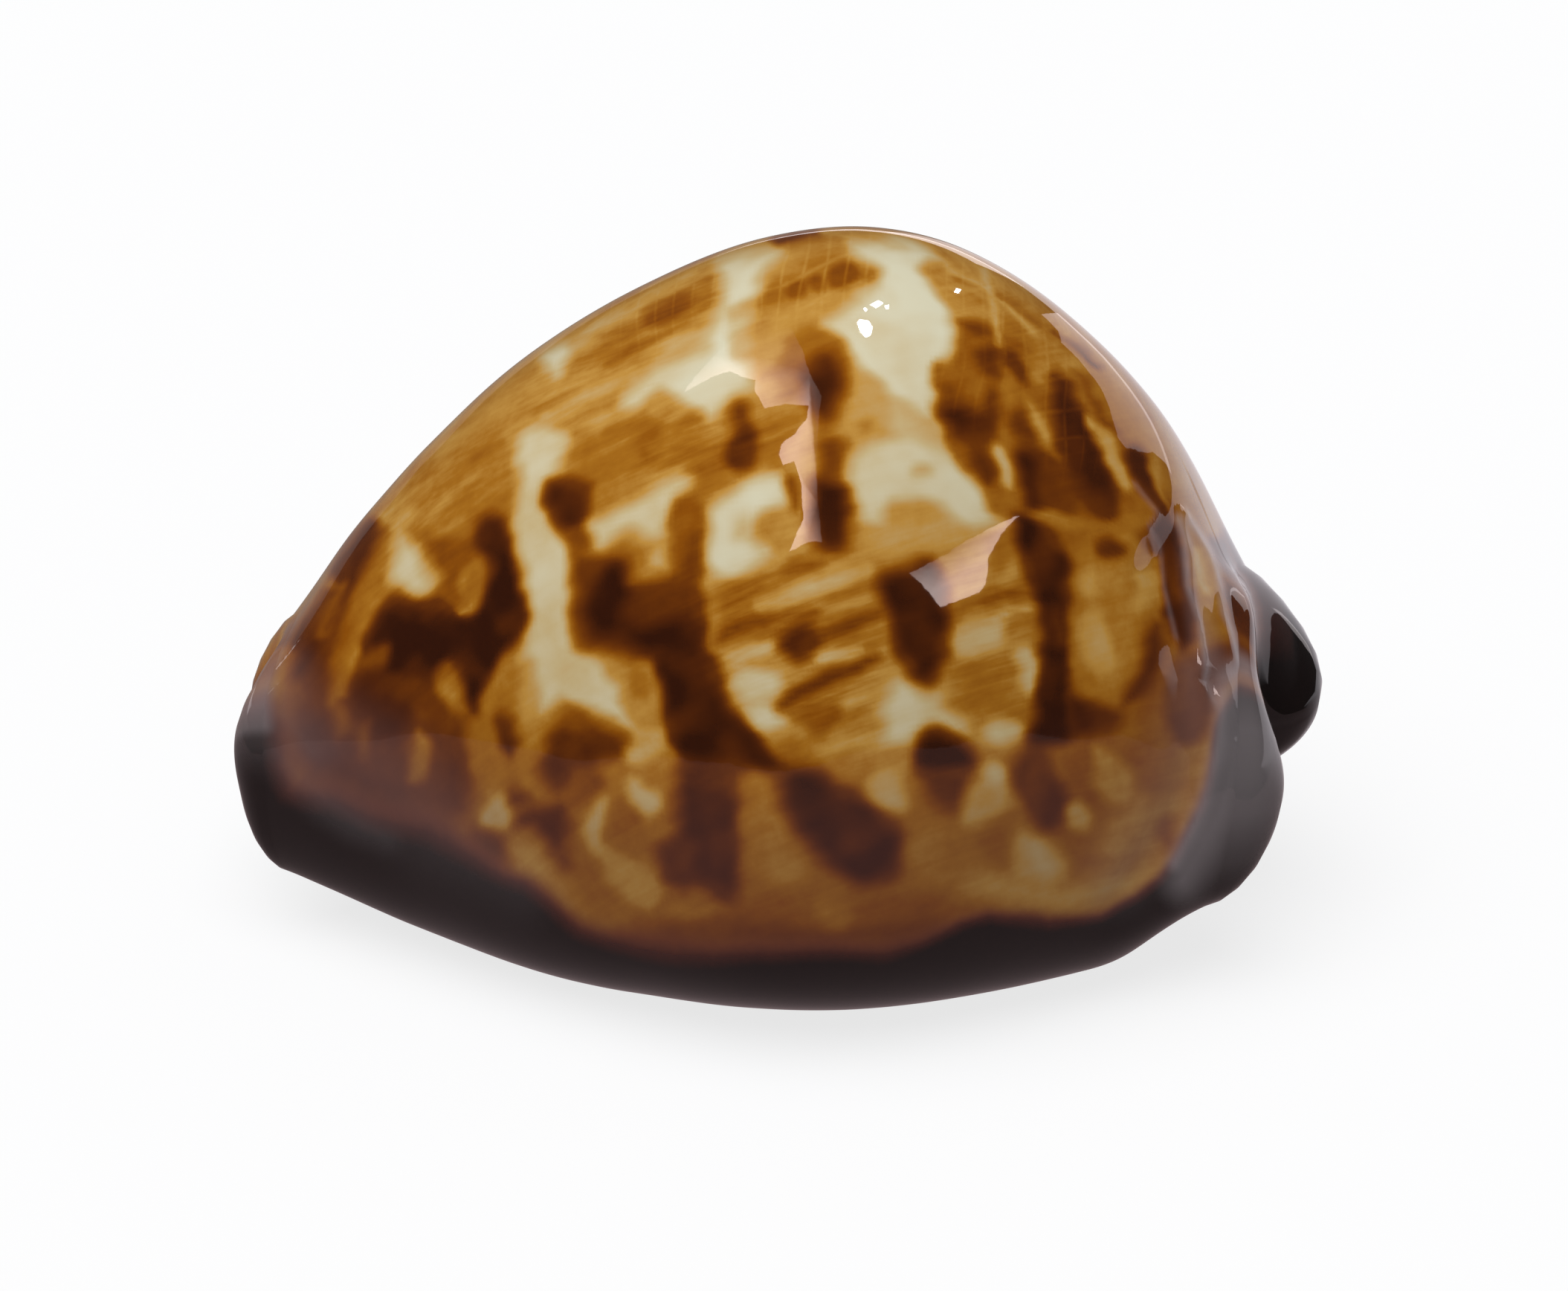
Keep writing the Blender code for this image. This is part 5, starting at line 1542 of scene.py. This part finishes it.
def enamel():
    """Polished enamel: the pigment's colours under a clear gloss, the dark margin and the pale inside, with a
    glaze that is partly painted shade and a painted reflection on the callus.
    """
    material = bpy.data.materials.new("polished shell")
    tree = cleared(material)
    names = ("pigment", "margin", "inside", "streaky", "lattice", "glaze_and_shade", "painted_reflection")
    pigment, margin, inside, streaky, lattice, glaze_and_shade, painted_reflection = (tree.value_of(name) for name in names)
    position = tree.add("ShaderNodeTexCoord").outputs["Object"]
    speckle = tree.math("MULTIPLY_ADD", tree.cloud(position, *SPECKLE), 2.0, -1.0)
    back = tree.colours(streaked_pigment(tree, pigment, streaky, lattice, speckle), PIGMENT_COLOURS)
    dark = tree.colours(tree.math("MULTIPLY_ADD", speckle, SPECKLE_DEPTH, margin), MARGIN_COLOURS)
    skin = tree.mix(tree.spread(margin, 0.0, MARGIN_COVER), back, dark)
    # The glaze adds painted shade to the lower side, and the painted reflection a grey veil and highlights to
    # the callus
    for share, colour in ((glaze_and_shade, GLAZE_AND_SHADE_COLOUR), (painted_reflection, PAINTED_REFLECTION_COLOUR), (inside, INSIDE_COLOUR)):
        skin = tree.mix(share, skin, linear(*colour))
    ripples = tree.cloud(position, *RIPPLES)
    bump = tree.add("ShaderNodeBump", {
        "Height": ripples, "Strength": RIPPLE_STRENGTH, "Distance": RIPPLE_HEIGHT,
    })
    finish = tree.add("ShaderNodeBsdfPrincipled", {
        "Base Color": skin, "Roughness": tree.spread(speckle, -1.0, 1.0, *ROUGHNESS), "IOR": REFRACTION,
        "Normal": bump.outputs["Normal"],
    })
    tree.add("ShaderNodeOutputMaterial", {"Surface": finish.outputs[0]})
    return material


def shell(sheet):
    piece = placed("polished_shell", shell_mesh(sheet))
    piece.data.materials.append(enamel())
    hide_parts("shell")
    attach(piece, "root")


def photo_camera():
    back, _, _ = camera_axes()
    camera = placed("camera", bpy.data.cameras.new("camera"))
    camera.location = eye_point()
    camera.rotation_euler = Vector(back).to_track_quat("Z", "Y").to_euler()
    camera.data.sensor_width = SENSOR
    camera.data.lens = SENSOR * PIXELS_PER_METRE * DISTANCE / PHOTO_WIDTH
    camera.data.shift_x = (PHOTO_WIDTH / 2 - TARGET_PIXEL[0]) / PHOTO_WIDTH
    camera.data.shift_y = (TARGET_PIXEL[1] - PHOTO_HEIGHT / 2) / PHOTO_WIDTH
    camera.data.clip_start = CLIP_START
    bpy.context.scene.camera = camera


def floor_in_gloss(tree):
    """The floor's colour as the gloss shows it: pale near the shell, paler behind it, dark further off."""
    position = tree.add("ShaderNodeTexCoord").outputs["Object"]
    place = tree.add("ShaderNodeSeparateXYZ", {"Vector": position}).outputs
    left = tree.spread(place["X"], SHEET_LEFT - SIDE_FADE, SHEET_LEFT)
    right = tree.spread(place["X"], SHEET_RIGHT, SHEET_RIGHT + SIDE_FADE, 1.0, 0.0)
    front = tree.spread(place["Y"], SHEET_FRONT - FRONT_FADE, SHEET_FRONT)
    behind_right = tree.spread(place["X"], *BEHIND_RIGHT)
    far = tree.mix(behind_right, FLOOR_BEHIND_IN_GLOSS, FLOOR_BEHIND_RIGHT_IN_GLOSS)
    near = tree.math("MULTIPLY", tree.math("MULTIPLY", left, right), front)
    dark = (ROOM_IN_GLOSS,) * 3
    return tree.mix(tree.spread(place["Y"], *BEHIND), tree.mix(near, dark, FLOOR_IN_GLOSS), far)


def floor():
    """A pale floor that reaches far enough to show as a level line in the gloss."""
    mesh = bpy.data.meshes.new("floor")
    corners = [(-1, -1), (1, -1), (1, 1), (-1, 1)]
    mesh.from_pydata([(x * FLOOR_REACH, y * FLOOR_REACH, 0) for x, y in corners], [], [(0, 1, 2, 3)])
    thing = placed("floor", mesh)
    thing.location.z = FLOOR_LEVEL
    material = bpy.data.materials.new("pale floor")
    tree = cleared(material)
    path = tree.add("ShaderNodeLightPath")
    plain = tree.add("ShaderNodeBsdfDiffuse", {"Color": (*FLOOR_COLOUR, 1.0)})
    glow = tree.add("ShaderNodeEmission", {"Strength": FLOOR_PALENESS})
    mirrored = tree.add("ShaderNodeEmission", {"Color": floor_in_gloss(tree)})
    pale = tree.cover(tree.math("MULTIPLY", path.outputs["Is Camera Ray"], FLOOR_GLOW), plain, glow)
    both = tree.cover(path.outputs["Is Glossy Ray"], pale, mirrored)
    tree.add("ShaderNodeOutputMaterial", {"Surface": both.outputs[0]})
    mesh.materials.append(material)


def mirrored_rays(sheet, corners):
    """The eye's rays once the shell has mirrored them at these pixels: where they start and run to."""
    points = sheet.outer.reshape(-1, 3)
    facing = facing_out(sheet.outer).reshape(-1, 3)
    view = unit(points - eye_point())
    hidden = (view * facing).sum(axis=1) >= TURNED_TO_EYE
    at = pixels(points) + np.where(hidden, OUT_OF_REACH, 0.0)[:, None]
    starts, directions = [], []
    for corner in corners:
        gap = np.linalg.norm(at - corner[:2], axis=1)
        near = np.argsort(gap)[:NEIGHBOURS]
        share = 1 / (gap[near] + NEIGHBOUR_EASE)
        start = share @ points[near] / share.sum()
        normal = unit(share @ facing[near])
        ray = unit(start - eye_point())
        starts.append(start)
        directions.append(ray - 2 * (ray @ normal) * normal)
    return np.array(starts), np.array(directions)


def glow_material(name, colour):
    """Plain light that adds to what lies behind it, as bright as the surface's brightness value."""
    material = bpy.data.materials.new(name)
    tree = cleared(material)
    light = tree.add("ShaderNodeEmission", {"Color": (*colour, 1.0), "Strength": tree.value_of("brightness")})
    clear = tree.add("ShaderNodeBsdfTransparent")
    both = tree.add("ShaderNodeAddShader")
    tree.give(both.inputs[0], light.outputs[0])
    tree.give(both.inputs[1], clear.outputs[0])
    tree.add("ShaderNodeOutputMaterial", {"Surface": both.outputs[0]})
    return material


def card(name, sheet, corners, glow, facing=None, more=()):
    """A lit card that only the gloss shows, cut so that it is mirrored with this outline.

    A corner that gives no brightness has 1, and so have the more corners that close the card.
    """
    starts, directions = mirrored_rays(sheet, corners)
    facing = unit(directions.mean(axis=0)) if facing is None else unit(np.array(facing))
    middle = starts.mean(axis=0) + facing * CARD_DISTANCE
    reach = ((middle - starts) @ facing) / (directions @ facing)
    points = starts + directions * reach[:, None]
    upright = np.array([0.0, 0.0, 1.0])
    side = unit(np.cross(upright, facing))
    extra = [middle + (side * across + upright * up) * CARD_DISTANCE for across, up in more]
    points = [list(point) for point in (*points, *extra)]
    mesh = bpy.data.meshes.new(name)
    mesh.from_pydata(points, [], [tuple(range(len(points)))])
    set_values(mesh, "brightness", [(*corner, 1.0)[2] for corner in corners] + [1.0] * len(extra))
    mesh.materials.append(glow_material(name, glow))
    thing = placed(name, mesh)
    thing.visible_camera = False
    thing.visible_diffuse = False
    thing.visible_shadow = False


def cards(sheet):
    card("softbox", sheet, SOFTBOX_IN_GLOSS, SOFTBOX_GLOW)
    for corners in LAMPS_IN_GLOSS:
        card("lamp", sheet, corners, LAMP_GLOW)
    card("high window", sheet, HIGH_WINDOW_IN_GLOSS, WINDOW_GLOW)
    card("low window", sheet, LOW_WINDOW_IN_GLOSS, WINDOW_GLOW)
    card("right wall", sheet, WALL_IN_GLOSS, WALL_GLOW, WALL_FACING, WALL_CORNERS)
    card("left wall", sheet, LEFT_WALL_IN_GLOSS, LEFT_WALL_GLOW, LEFT_WALL_FACING, LEFT_WALL_CORNERS)


def soft_light():
    """A broad high light and a dim room round it."""
    lamp = placed("broad light", bpy.data.lights.new("broad light", "SUN"))
    lamp.data.energy = LAMP_POWER
    lamp.data.angle = LAMP_WIDTH
    lamp.rotation_euler = LAMP_TILT
    lamp.visible_glossy = False
    world = bpy.data.worlds.new("dim room")
    bpy.context.scene.world = world
    tree = cleared(world)
    path = tree.add("ShaderNodeLightPath")
    strength = tree.spread(path.outputs["Is Glossy Ray"], 0.0, 1.0, ROOM_GLOW, ROOM_IN_GLOSS)
    glow = tree.add("ShaderNodeBackground", {"Color": (*ROOM_COLOUR, 1.0), "Strength": strength})
    tree.add("ShaderNodeOutputWorld", {"Surface": glow.outputs[0]})


photo_camera()
floor()
soft_light()
bpy.context.scene.view_settings.view_transform = "Standard"
shell_sheet = Sheet()
cards(shell_sheet)
shell(shell_sheet)
